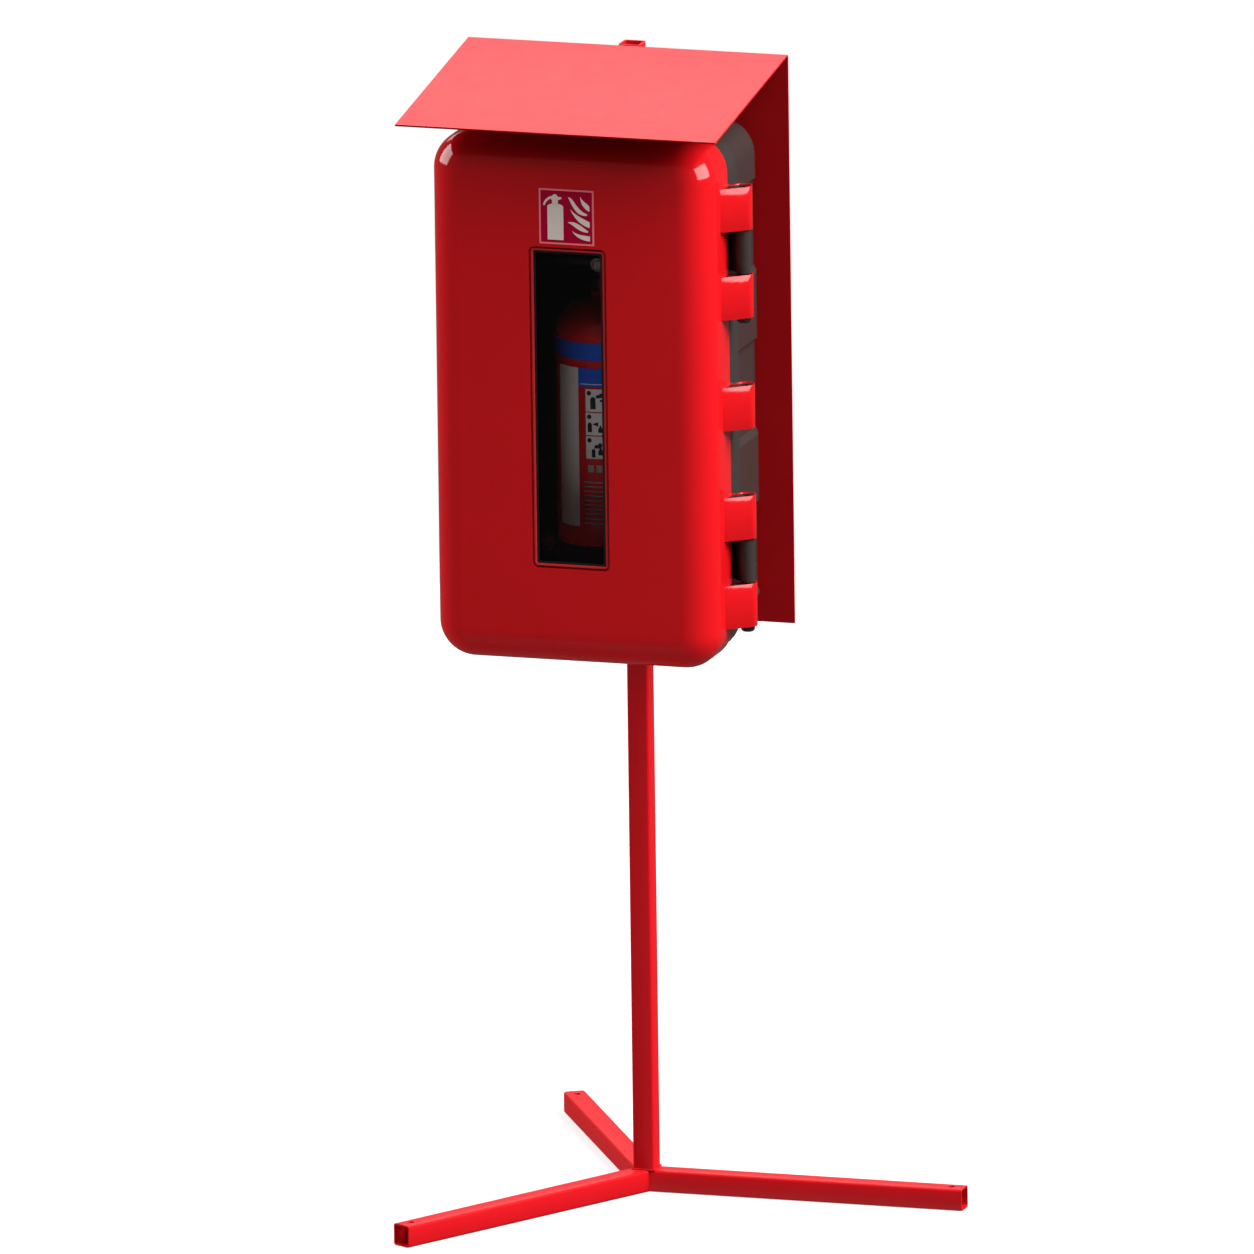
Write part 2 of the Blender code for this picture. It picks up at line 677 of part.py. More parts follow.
def build_door(shop, plastic):
    """The red shell with its five hinge lugs, each with a hollow top, and its window opening."""
    outer = pillow_mesh(
        "door_shell",
        DOOR_HALF,
        CABINET_BOTTOM,
        CABINET_TOP,
        DOOR_FRONT_Y,
        DOOR_REAR_Y,
        DOOR_CORNER,
        DOOR_EDGE_ROUND,
        DOOR_FRONT_Y,
    )
    door = shop.door_part("door_shell", outer, plastic)
    inner = pillow_mesh(
        "door_cavity",
        DOOR_HALF - DOOR_WALL,
        CABINET_BOTTOM + DOOR_WALL,
        CABINET_TOP - DOOR_WALL,
        DOOR_FRONT_Y + DOOR_WALL,
        DOOR_REAR_Y + CUT_OVER,
        DOOR_CORNER - DOOR_WALL,
        DOOR_EDGE_ROUND - DOOR_WALL,
        DOOR_FRONT_Y + DOOR_WALL,
    )
    boolean(door, shop.helper("door_cavity", inner))
    for index, rise in enumerate(LUG_RISES):
        name = f"lug_{index}"
        middle = LUG_MIDDLE + rise
        mesh = prism_mesh(name, lug_outline(), middle - LUG_HEIGHT / 2, middle + LUG_HEIGHT / 2)
        boolean(door, shop.helper(name, mesh), "UNION")
    for index, rise in enumerate(LUG_RISES):
        name = f"lug_pocket_{index}"
        top = LUG_MIDDLE + rise + LUG_HEIGHT / 2
        pocket = prism_mesh(name, pocket_outline(), top - LUG_POCKET_DEPTH, top + CUT_OVER)
        boolean(door, shop.helper(name, pocket))
    bore = rod_mesh(
        "lug_bore",
        PIN_RADIUS + PIN_RUNNING_GAP,
        (PIN_X, PIN_Y, CABINET_BOTTOM - CUT_OVER),
        (PIN_X, PIN_Y, CABINET_TOP + CUT_OVER),
        BORE_STEPS,
    )
    boolean(door, shop.helper("lug_bore", bore))
    grow = GASKET_WIDTH + SEAT_GAP
    hole = window_prism("window_hole", grow, DOOR_FRONT_Y - CUT_OVER, DOOR_FRONT_Y + DOOR_WALL + CUT_OVER)
    boolean(door, shop.helper("window_hole", hole))


def window_prism(name, grow, front, rear):
    """The window's round cornered outline, grown all round, from front to rear along Y."""
    corner = WINDOW_CORNER + max(grow, 0)
    outline = rounded_rectangle(WINDOW_WIDTH / 2 + grow, WINDOW_HEIGHT / 2 + grow, corner)
    placed = [(x, z + WINDOW_MIDDLE) for x, z in outline]
    return side_prism(name, placed, front, rear, 1)


def build_window(shop, glass, rubber):
    """A pane bonded behind the opening, and the thin frame that lines the opening in front of it."""
    pane_front = DOOR_FRONT_Y + DOOR_WALL + SEAT_GAP
    pane = window_prism("window_pane", PANE_OVERLAP, pane_front, pane_front + PANE_THICKNESS)
    shop.door_part("window_pane", pane, glass)
    frame_front = DOOR_FRONT_Y + GASKET_SINK
    frame_rear = pane_front - SEAT_GAP
    frame = shop.door_part(
        "window_frame", window_prism("window_frame", GASKET_WIDTH, frame_front, frame_rear), rubber
    )
    sight = window_prism("sight_opening", 0.0, frame_front - CUT_OVER, frame_rear + CUT_OVER)
    boolean(frame, shop.helper("sight_opening", sight))


def latch_outline():
    """A latch plate in plan: flat along the door's side, its free end curled out as a finger lip."""
    inner = -DOOR_HALF - SEAT_GAP
    outer = inner - LATCH_THICKNESS
    front = DOOR_REAR_Y - LATCH_FORWARD
    rear = DOOR_REAR_Y + LATCH_BACK
    curl = LATCH_LIP
    inner_curl = arc((inner - curl - LATCH_THICKNESS, rear), curl + LATCH_THICKNESS, 0, 50, 6)
    outer_curl = arc((inner - curl - LATCH_THICKNESS, rear), curl, 50, 0, 6)
    return [(inner, front), *inner_curl, *outer_curl, (outer, front + LATCH_THICKNESS / 2)]


def build_latches(shop, plastic):
    """Two latch plates on the door's free side, opposite the hinge."""
    for name, side in (("latch_lower", -1), ("latch_upper", 1)):
        middle = LUG_MIDDLE + side * LATCH_RISE
        mesh = prism_mesh(name, latch_outline(), middle - LATCH_HEIGHT / 2, middle + LATCH_HEIGHT / 2)
        shop.door_part(name, mesh, plastic)


def build_pins(shop, steel):
    """Two hinge pins, each through two lugs and the knuckle between them, with a knob under the lower lug."""
    for name, side in (("hinge_pin_lower", -1), ("hinge_pin_upper", 1)):
        middle = LUG_MIDDLE + side * KNUCKLE_MIDDLE_RISE
        reach = KNUCKLE_SLOT / 2 + LUG_HEIGHT
        high = middle + reach - LUG_POCKET_DEPTH / 2
        low = middle - reach - KNUCKLE_GAP / 2
        profile = [
            (0.0, high),
            (PIN_RADIUS - PIN_CHAMFER, high),
            (PIN_RADIUS, high - PIN_CHAMFER),
            (PIN_RADIUS, low),
            (KNOB_RADIUS, low),
            (KNOB_RADIUS, low - KNOB_HEIGHT + KNOB_CHAMFER),
            (KNOB_RADIUS - KNOB_CHAMFER, low - KNOB_HEIGHT),
            (0.0, low - KNOB_HEIGHT),
        ]
        turned_object(shop, name, profile, steel, Matrix.Translation((PIN_X, PIN_Y, 0)), BORE_STEPS)


# Extinguisher and its holders


def build_cylinder(shop, paint, plastic):
    """The cylinder, with a domed shoulder and a neck, in its foot ring."""
    dome_base = CYLINDER_TOP - SHOULDER_HEIGHT
    profile = [(0.0, CYLINDER_TOP + NECK_HEIGHT), (NECK_RADIUS, CYLINDER_TOP + NECK_HEIGHT)]
    profile.append((NECK_RADIUS, CYLINDER_TOP))
    start = math.acos(NECK_RADIUS / CYLINDER_RADIUS)
    for step in range(1, SHOULDER_STEPS + 1):
        angle = start * (1 - step / SHOULDER_STEPS)
        height = SHOULDER_HEIGHT * math.sin(angle) / math.sin(start)
        profile.append((CYLINDER_RADIUS * math.cos(angle), dome_base + height))
    profile.append((CYLINDER_RADIUS, CYLINDER_BASE + HEEL_ROUND))
    profile += [(CYLINDER_RADIUS - HEEL_ROUND, CYLINDER_BASE), (0.0, CYLINDER_BASE)]
    place = Matrix.Translation((0, CYLINDER_AXIS_Y, 0))
    turned_object(shop, "extinguisher_cylinder", profile, paint, place)
    inside = CYLINDER_RADIUS + SEAT_GAP
    ring = [
        (inside, FOOT_BASE + FOOT_RING_HEIGHT),
        (FOOT_RING_RADIUS, FOOT_BASE + FOOT_RING_HEIGHT),
        (FOOT_RING_RADIUS, FOOT_BASE),
        (inside - FOOT_RING_LEDGE_WIDTH, FOOT_BASE),
        (inside - FOOT_RING_LEDGE_WIDTH, FOOT_BASE + FOOT_RING_LEDGE),
        (inside, FOOT_BASE + FOOT_RING_LEDGE),
        (inside, FOOT_BASE + FOOT_RING_HEIGHT),
    ]
    turned_object(shop, "foot_ring", ring, plastic, place)


def build_valve(shop, brass, plastic, steel):
    """The valve on the neck, with its gauge to the front and its nozzle to the left."""
    profile = [
        (0.0, VALVE_TOP),
        (VALVE_NECK_RADIUS, VALVE_TOP),
        (VALVE_NECK_RADIUS, VALVE_BASE + VALVE_COLLAR_HEIGHT + VALVE_TAPER),
        (VALVE_RADIUS, VALVE_BASE + VALVE_COLLAR_HEIGHT),
        (VALVE_RADIUS, VALVE_BASE),
        (0.0, VALVE_BASE),
    ]
    place = Matrix.Translation((0, CYLINDER_AXIS_Y, 0))
    turned_object(shop, "valve_body", profile, brass, place, FITTING_STEPS)
    gauge_rear = CYLINDER_AXIS_Y - VALVE_NECK_RADIUS - SEAT_GAP
    gauge_z = VALVE_BASE + GAUGE_RISE
    dial = [
        (0.0, GAUGE_DEPTH - GAUGE_SINK),
        (GAUGE_RADIUS - GAUGE_LIP, GAUGE_DEPTH - GAUGE_SINK),
        (GAUGE_RADIUS - GAUGE_LIP, GAUGE_DEPTH),
        (GAUGE_RADIUS, GAUGE_DEPTH),
        (GAUGE_RADIUS, GAUGE_STEM_LENGTH),
        (GAUGE_STEM_RADIUS, GAUGE_STEM_LENGTH),
        (GAUGE_STEM_RADIUS, 0.0),
        (0.0, 0.0),
    ]
    facing = Matrix.Translation((0, gauge_rear, gauge_z)) @ Matrix.Rotation(math.radians(90.0), 4, "X")
    turned_object(shop, "pressure_gauge", dial, steel, facing, FITTING_STEPS)
    horn = [
        (0.0, NOZZLE_THROAT),
        (NOZZLE_BORE / 2, NOZZLE_THROAT),
        (NOZZLE_MOUTH_RADIUS - NOZZLE_LIP, NOZZLE_LENGTH),
        (NOZZLE_MOUTH_RADIUS, NOZZLE_LENGTH),
        (NOZZLE_ROOT_RADIUS, NOZZLE_SHANK),
        (NOZZLE_ROOT_RADIUS, 0.0),
        (0.0, 0.0),
    ]
    start_x = -VALVE_NECK_RADIUS - SEAT_GAP
    aim = Matrix.Translation((start_x, CYLINDER_AXIS_Y, gauge_z)) @ Matrix.Rotation(-math.pi / 2, 4, "Y")
    turned_object(shop, "discharge_nozzle", horn, plastic, aim, SOCKET_STEPS)


def build_handles(shop, steel, plastic):
    """The fixed carry handle on the valve, the squeeze lever above it and the pull pin between them."""
    back = -VALVE_RADIUS
    tip = back + HANDLE_LENGTH
    depth = HANDLE_WIDTH / 2
    carry = [
        (back, HANDLE_Z),
        (tip - HANDLE_DROP, HANDLE_Z),
        (tip, HANDLE_Z - HANDLE_DROP),
        (tip + HANDLE_THICKNESS, HANDLE_Z - HANDLE_DROP),
        (tip - HANDLE_DROP + HANDLE_THICKNESS, HANDLE_Z + HANDLE_THICKNESS),
        (back + HANDLE_THICKNESS, HANDLE_Z + HANDLE_THICKNESS),
        (back + HANDLE_THICKNESS, LEVER_Z - SEAT_GAP),
        (back, LEVER_Z - SEAT_GAP),
    ]
    mesh = side_prism("carry_handle", carry, CYLINDER_AXIS_Y - depth, CYLINDER_AXIS_Y + depth, 1)
    shop.part("carry_handle", mesh, steel)
    lift = HANDLE_LENGTH * math.tan(math.radians(LEVER_LIFT_DEG))
    squeeze = [
        (back, LEVER_Z),
        (back + LEVER_FLAT, LEVER_Z),
        (tip, LEVER_Z + lift),
        (tip, LEVER_Z + lift + HANDLE_THICKNESS),
        (back + LEVER_FLAT, LEVER_Z + HANDLE_THICKNESS),
        (back, LEVER_Z + HANDLE_THICKNESS),
    ]
    mesh = side_prism("operating_lever", squeeze, CYLINDER_AXIS_Y - depth, CYLINDER_AXIS_Y + depth, 1)
    shop.part("operating_lever", mesh, steel)
    pin_z = HANDLE_Z + HANDLE_THICKNESS + SAFETY_PIN_RADIUS + SEAT_GAP
    build_safety_pin(shop, steel, pin_z)


def build_safety_pin(shop, steel, pin_z):
    """A straight pin across the handle, with a pull ring on its front end."""
    reach = HANDLE_WIDTH / 2 + RING_RADIUS / 2
    start_y = CYLINDER_AXIS_Y + reach
    end_y = CYLINDER_AXIS_Y - reach
    curve = bpy.data.curves.new("safety_pin", "CURVE")
    curve.dimensions = "3D"
    curve.bevel_depth = SAFETY_PIN_RADIUS
    curve.bevel_resolution = 2
    curve.use_fill_caps = True
    points = [(SAFETY_PIN_OUT, start_y, pin_z), (SAFETY_PIN_OUT, end_y, pin_z)]
    centre = (SAFETY_PIN_OUT, end_y, pin_z - RING_RADIUS)
    for step in range(1, RING_TURNS):
        angle = math.radians(90.0 - RING_SWEEP_DEG * step / RING_TURNS)
        points.append(
            (centre[0] + RING_RADIUS * math.cos(angle), centre[1], centre[2] + RING_RADIUS * math.sin(angle))
        )
    spline = curve.splines.new("POLY")
    spline.points.add(len(points) - 1)
    for point, place in zip(spline.points, points):
        point.co = (*place, 1.0)
    shop.part("safety_pin", mesh_of_curve(curve, Matrix.Identity(4)), steel)


def build_holders(shop, plastic, rubber):
    """The saddle under the foot ring, the strap with its anchor, and the cradle behind the shoulder."""
    clear_rear = CAVITY_REAR_Y - TUB_EDGE_ROUND
    saddle_top = SADDLE_BASE + SADDLE_HEIGHT
    low = (-SADDLE_WIDTH / 2, BASE_FRONT_Y + CUT_OVER, SADDLE_BASE)
    high = (SADDLE_WIDTH / 2, clear_rear, saddle_top)
    saddle = shop.part("extinguisher_saddle", box_mesh("extinguisher_saddle", low, high), plastic)
    pocket = rod_mesh(
        "saddle_pocket",
        FOOT_RING_RADIUS + SEAT_GAP,
        (0, CYLINDER_AXIS_Y, saddle_top - SADDLE_POCKET),
        (0, CYLINDER_AXIS_Y, saddle_top + CUT_OVER),
    )
    boolean(saddle, shop.helper("saddle_pocket", pocket))
    bite = rod_mesh(
        "cylinder_bite",
        CYLINDER_RADIUS + SEAT_GAP,
        (0, CYLINDER_AXIS_Y, CAVITY_FLOOR),
        (0, CYLINDER_AXIS_Y, CYLINDER_TOP),
    )
    bite_cutter = shop.helper("cylinder_bite", bite)
    seat_y = CAVITY_REAR_Y - SEAT_GAP
    cradle_mid = CYLINDER_BASE + CRADLE_RISE
    low = (-CRADLE_WIDTH / 2, CYLINDER_AXIS_Y + CYLINDER_RADIUS - CRADLE_WRAP, cradle_mid - CRADLE_HEIGHT / 2)
    high = (CRADLE_WIDTH / 2, seat_y, cradle_mid + CRADLE_HEIGHT / 2)
    cradle = shop.part("upper_cradle", box_mesh("upper_cradle", low, high), plastic)
    boolean(cradle, bite_cutter)
    strap_mid = CYLINDER_BASE + STRAP_RISE
    strap_inner = CYLINDER_RADIUS + SEAT_GAP
    strap_outer = strap_inner + STRAP_THICKNESS
    half = STRAP_HEIGHT / 2
    profile = [
        (strap_inner, strap_mid + half),
        (strap_outer, strap_mid + half),
        (strap_outer, strap_mid - half),
        (strap_inner, strap_mid - half),
        (strap_inner, strap_mid + half),
    ]
    turned_object(shop, "retaining_strap", profile, rubber, Matrix.Translation((0, CYLINDER_AXIS_Y, 0)))
    low = (-CRADLE_WIDTH / 2, CYLINDER_AXIS_Y + CYLINDER_RADIUS - CRADLE_WRAP, strap_mid - CRADLE_HEIGHT / 2)
    high = (CRADLE_WIDTH / 2, seat_y, strap_mid + CRADLE_HEIGHT / 2)
    anchor = shop.part("strap_anchor", box_mesh("strap_anchor", low, high), plastic)
    strap_bite = rod_mesh(
        "strap_bite",
        strap_outer + SEAT_GAP,
        (0, CYLINDER_AXIS_Y, CAVITY_FLOOR),
        (0, CYLINDER_AXIS_Y, CYLINDER_TOP),
    )
    boolean(anchor, shop.helper("strap_bite", strap_bite))


def main():
    """Build the whole cabinet on its stand."""
    clear_scene()
    shop = Workshop()
    red_paint = make_material("red_powder_coat", (0.55, 0.012, 0.014), 0.4)
    red_plastic = make_material("red_plastic", (0.62, 0.010, 0.014), 0.25)
    grey_plastic = make_material("grey_plastic", (0.045, 0.042, 0.038), 0.5)
    glass = make_material("dark_pane", (0.02, 0.02, 0.02), 0.05)
    rubber = make_material("black_rubber", (0.02, 0.02, 0.02), 0.7)
    steel = make_material("plated_steel", (0.6, 0.6, 0.6), 0.3, 1.0)
    brass = make_material("brass", (0.7, 0.5, 0.2), 0.3, 1.0)
    extinguisher_red = make_material("extinguisher_red", (0.5, 0.01, 0.01), 0.2)
    build_post(shop, red_paint)
    build_legs(shop, red_paint)
    build_sheet(shop, red_paint)
    build_base(shop, grey_plastic)
    build_seal(shop, rubber)
    build_pins(shop, steel)
    build_door(shop, red_plastic)
    build_window(shop, glass, rubber)
    build_latches(shop, grey_plastic)
    build_holders(shop, grey_plastic, rubber)
    build_cylinder(shop, extinguisher_red, grey_plastic)
    build_valve(shop, brass, grey_plastic, steel)
    build_handles(shop, steel, grey_plastic)


main()
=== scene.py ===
"""Looks for a fire extinguisher cabinet that hangs under a folded canopy on a three legged stand.

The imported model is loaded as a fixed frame. Each class below dresses or replaces one part of it. Places are
in metres in the frame's own axes: +X to the hinge side, -Y to the front, +Z up.
"""

from __future__ import annotations

import logging
import math
from collections.abc import Callable, Iterator
from contextlib import contextmanager
from dataclasses import dataclass
from enum import Enum

import bmesh
import bpy
from mathutils import Matrix, Vector


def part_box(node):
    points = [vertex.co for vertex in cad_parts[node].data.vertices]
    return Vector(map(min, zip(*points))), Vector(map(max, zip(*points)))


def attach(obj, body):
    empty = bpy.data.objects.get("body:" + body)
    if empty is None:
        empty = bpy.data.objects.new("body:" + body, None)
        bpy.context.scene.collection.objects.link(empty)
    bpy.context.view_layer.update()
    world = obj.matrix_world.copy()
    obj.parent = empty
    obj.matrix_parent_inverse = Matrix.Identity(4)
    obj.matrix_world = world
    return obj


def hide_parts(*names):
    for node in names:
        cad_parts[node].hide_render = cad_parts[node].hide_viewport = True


LOG = logging.getLogger("cabinet")
MM = 0.001
NEAR = 1e-5
CREASE_DEGREES = 32.0
SHARP_DEGREES = 50.0
WHITE = (1.0, 1.0, 1.0)
Point = tuple[float, float, float]
Flat = tuple[float, float]
Colour = tuple[float, float, float]
Piece = bpy.types.Object
Socket = bpy.types.NodeSocket
Material = bpy.types.Material


class Body(Enum):
    """The two bodies of the frame."""

    STAND = "stand"
    DOOR = "door"


class Slot(Enum):
    """The record's material slots, named beside the finished pieces."""

    COAT = "red_coat"
    RED_PLASTIC = "red_plastic"
    GREY_PLASTIC = "grey_plastic"
    RUBBER = "rubber"
    STEEL = "steel"
    CYLINDER = "cylinder_paint"


# Finishes


class Tree:
    """A node tree whose nodes are added with their sockets filled."""

    def __init__(self, tree: bpy.types.NodeTree) -> None:
        """Keep the tree."""
        self.tree = tree

    def add(self, kind: str, **inputs: object) -> bpy.types.Node:
        """Add a node and fill its sockets.

        Args:
            kind: The node's type name.
            **inputs: A value or another socket for each input, with underscores for spaces.

        Returns:
            The node.
        """
        node = self.tree.nodes.new(kind)
        self.fill(node, **inputs)
        return node

    def fill(self, node: bpy.types.Node, **inputs: object) -> None:
        """Set a node's sockets to values, or link them to other sockets."""
        for key, value in inputs.items():
            self.join(value, node.inputs[key.replace("_", " ")])

    def join(self, value: object, socket: Socket) -> None:
        """Set a socket to a value, or link it to another socket.

        Args:
            value: The value, or the other socket.
            socket: The socket.
        """
        if isinstance(value, Socket):
            self.tree.links.new(value, socket)
        else:
            socket.default_value = (*value, 1.0) if socket.type == "RGBA" else value


class Nodes(Tree):
    """The nodes of one material round its Principled shader."""

    def __init__(self, name: str) -> None:
        """Start a material.

        Args:
            name: Its name.
        """
        self.material = bpy.data.materials.new(name)
        self.material.use_nodes = True
        super().__init__(self.material.node_tree)
        self.shader = self.tree.nodes["Principled BSDF"]
        self.place = self.add("ShaderNodeTexCoord").outputs["Object"]

    def put(self, **inputs: object) -> None:
        """Fill the shader's own sockets."""
        self.fill(self.shader, **inputs)

    def noise(self, scale: float, detail: float, stretch: Point | None = None) -> Socket:
        """A noise pattern in the object's own coordinates.

        Args:
            scale: Bumps per metre.
            detail: How many finer layers it has.
            stretch: Factors for the coordinates on X, Y and Z, if they aren't plain.

        Returns:
            The socket of its height.
        """
        place = self.place
        if stretch:
            place = self.add("ShaderNodeMapping", Scale=stretch, Vector=place).outputs["Vector"]
        return self.add("ShaderNodeTexNoise", Scale=scale, Detail=detail, Vector=place).outputs["Fac"]

    def ranged(self, source: Socket, low: float, high: float) -> Socket:
        """Stretch a pattern's middle range, so that its darker and its lighter parts get two values."""
        ends = {"From_Min": 0.3, "From_Max": 0.7, "To_Min": low, "To_Max": high}
        return self.add("ShaderNodeMapRange", Value=source, **ends).outputs["Result"]

    def blend(self, pattern: Socket, first: Colour, second: Colour) -> None:
        """Mix the base colour of two by a pattern.

        Args:
            pattern: The pattern, whose middle range goes from one colour to the other.
            first: The colour at its darker parts.
            second: The colour at its lighter parts.
        """
        node = self.add("ShaderNodeMix")
        node.data_type = "RGBA"
        self.fill(node, Factor=self.ranged(pattern, 0.0, 1.0), A=first, B=second)
        self.put(Base_Color=node.outputs["Result"])

    def mottle(self, colour: Colour, spread: float, scale: float) -> None:
        """Give the base colour a slight unevenness.

        Args:
            colour: The colour's middle.
            spread: How far lighter and darker parts depart from it, as a share.
            scale: Patches per metre.
        """
        darker = tuple(channel * (1.0 - spread) for channel in colour)
        lighter = tuple(channel * (1.0 + spread) for channel in colour)
        self.blend(self.noise(scale, 3.0), darker, lighter)

    def gloss(self, pattern: Socket, low: float, high: float) -> None:
        """Vary the roughness by a pattern, between two values."""
        self.put(Roughness=self.ranged(pattern, low, high))

    def relief(self, height: Socket, strength: float, depth: float) -> None:
        """Roughen the normal by a height pattern of a full height in metres, as far as its strength says."""
        bump = self.add("ShaderNodeBump", Strength=strength, Distance=depth, Height=height)
        self.put(Normal=bump.outputs["Normal"])


@dataclass(frozen=True)
class Finish:
    """What every finish has: a name, a colour and how its face takes light."""

    name: str
    colour: Colour
    roughness: float
    specular: float = 0.5

    def make(self) -> Material:
        """Build the material.

        Returns:
            The material.
        """
        nodes = Nodes(self.name)
        nodes.put(Specular_IOR_Level=self.specular)
        self.dress(nodes)
        return nodes.material

    def dress(self, nodes: Nodes) -> None:
        """Add the finish's own patterns to the material's nodes."""
        raise NotImplementedError


class Coat(Finish):
    """Baked powder coat: an even colour with a fine orange peel and a soft sheen."""

    def dress(self, nodes: Nodes) -> None:
        """Add soft patches and the peel.

        Args:
            nodes: The material's nodes.
        """
        nodes.mottle(self.colour, 0.02, 14.0)
        nodes.gloss(nodes.noise(40.0, 3.0), self.roughness - 0.015, self.roughness + 0.015)
        nodes.relief(nodes.noise(620.0, 2.0), 0.1, 0.0002)


class Moulded(Finish):
    """Moulded plastic: a faint flow unevenness, fine wear in the gloss and an almost smooth face."""

    def dress(self, nodes: Nodes) -> None:
        """Add the flow and the wear.

        Args:
            nodes: The material's nodes.
        """
        nodes.mottle(self.colour, 0.02, 6.0)
        wear = nodes.noise(1.0, 5.0, (60.0, 60.0, 18.0))
        nodes.gloss(wear, self.roughness * 0.85, self.roughness * 1.25)
        nodes.relief(nodes.noise(300.0, 3.0), 0.04, 0.0002)


@dataclass(frozen=True)
class Grained(Finish):
    """Textured plastic: a pebbled grain, darker in its pits."""

    scale: float = 900.0

    def dress(self, nodes: Nodes) -> None:
        """Add the pebbles.

        Args:
            nodes: The material's nodes.
        """
        cells = nodes.add("ShaderNodeTexVoronoi", Scale=self.scale, Vector=nodes.place)
        cells.feature = "SMOOTH_F1"
        pits = cells.outputs["Distance"]
        nodes.blend(pits, self.colour, tuple(channel * 0.86 for channel in self.colour))
        nodes.gloss(nodes.noise(40.0, 4.0), self.roughness - 0.05, self.roughness + 0.08)
        nodes.relief(pits, 0.16, 0.0002)


class Brushed(Finish):
    """Bare or plated metal, with fine lines run along one axis."""

    def dress(self, nodes: Nodes) -> None:
        """Add the lines.

        Args:
            nodes: The material's nodes.
        """
        nodes.mottle(self.colour, 0.08, 60.0)
        lines = nodes.noise(1.0, 2.0, (900.0, 900.0, 30.0))
        nodes.gloss(lines, self.roughness * 0.8, self.roughness * 1.3)
        nodes.put(Metallic=1.0)
        nodes.relief(lines, 0.08, 0.0001)


@dataclass(frozen=True)
class Smoked(Finish):
    """A see-through pane with a clean gloss and a breath of dust in its reflections."""

    cover: float = 0.12

    def dress(self, nodes: Nodes) -> None:
        """Add the dust and the cover.

        Args:
            nodes: The material's nodes.
        """
        nodes.mottle(self.colour, 0.1, 20.0)
        nodes.gloss(nodes.noise(30.0, 5.0), self.roughness * 0.7, self.roughness * 1.6)
        nodes.put(Alpha=self.cover)
        nodes.relief(nodes.noise(5.0, 1.0), 0.03, 0.0004)


class Printed(Finish):
    """Ink on a film: a flat colour with a fine dot and a satin face."""

    def dress(self, nodes: Nodes) -> None:
        """Add the dots.

        Args:
            nodes: The material's nodes.
        """
        nodes.mottle(self.colour, 0.05, 900.0)
        nodes.gloss(nodes.noise(160.0, 3.0), self.roughness - 0.05, self.roughness + 0.07)
        nodes.relief(nodes.noise(1500.0, 1.0), 0.05, 0.0001)


INKS = {
    "sign_field": ("sign_crimson_ink", (0.42, 0.001, 0.030)),
    "sign_figure": ("sign_pale_ink", (0.80, 0.68, 0.62)),
    "sign_border": ("sign_border_ink", (0.95, 0.20, 0.24)),
    "label_white": ("label_pale_film", (0.85, 0.83, 0.80)),
    "label_blue": ("label_blue_ink", (0.03, 0.12, 0.72)),
    "label_dark": ("label_dark_ink", (0.03, 0.03, 0.035)),
    "label_grey": ("label_grey_ink", (0.42, 0.36, 0.36)),
    "label_green": ("label_green_ink", (0.02, 0.30, 0.05)),
    "label_red": ("label_red_ink", (0.55, 0.01, 0.015)),
    # The bead's red is paler and greyer than the door's: a painted highlight along the bead's rounded inner
    # edge.
    "bead": ("window_bead_painted_highlight", (0.52, 0.022, 0.026)),
}
FINISHES = {
    "coat": Coat("stand_powder_coat", (0.60, 0.0062, 0.0110), 0.38, 0.28),
    "door": Moulded("door_gloss_plastic", (0.60, 0.0052, 0.0085), 0.07, 0.42),
    "grey": Grained("base_grey_plastic", (0.037, 0.029, 0.027), 0.2, 0.10),
    "dark": Grained("fitting_black_plastic", (0.018, 0.018, 0.018), 0.4),
    "pane": Smoked("smoked_pane", (0.011, 0.011, 0.011), 0.04, 0.35),
    "rubber": Grained("black_rubber", (0.013, 0.012, 0.012), 0.66, 0.3, 1400.0),
    "steel": Brushed("zinc_plated_steel", (0.62, 0.61, 0.60), 0.32),
    "nickel": Brushed("dull_nickel", (0.20, 0.19, 0.18), 0.42),
    "bottle": Moulded("extinguisher_gloss_paint", (0.75, 0.012, 0.014), 0.16),
} | {key: Printed(name, colour, 0.45, 0.1) for key, (name, colour) in INKS.items()}
DRESSED = {
    "coat": ("post", "leg_right", "leg_front_left", "leg_rear_left", "back_plate_and_canopy"),
    "grey": ("base_shell", "latch_upper", "latch_lower"),
    "rubber": ("base_seal", "retaining_strap"),
    "pane": ("window_pane",),
    "steel": ("carry_handle", "operating_lever", "safety_pin", "pressure_gauge"),
    "dark": (
        "hinge_pin_lower",
        "hinge_pin_upper",
        "foot_ring",
        "extinguisher_saddle",
        "upper_cradle",
        "strap_anchor",
        "discharge_nozzle",
    ),
    "nickel": ("valve_body",),
    "bottle": ("extinguisher_cylinder",),
}


# Modelling tools


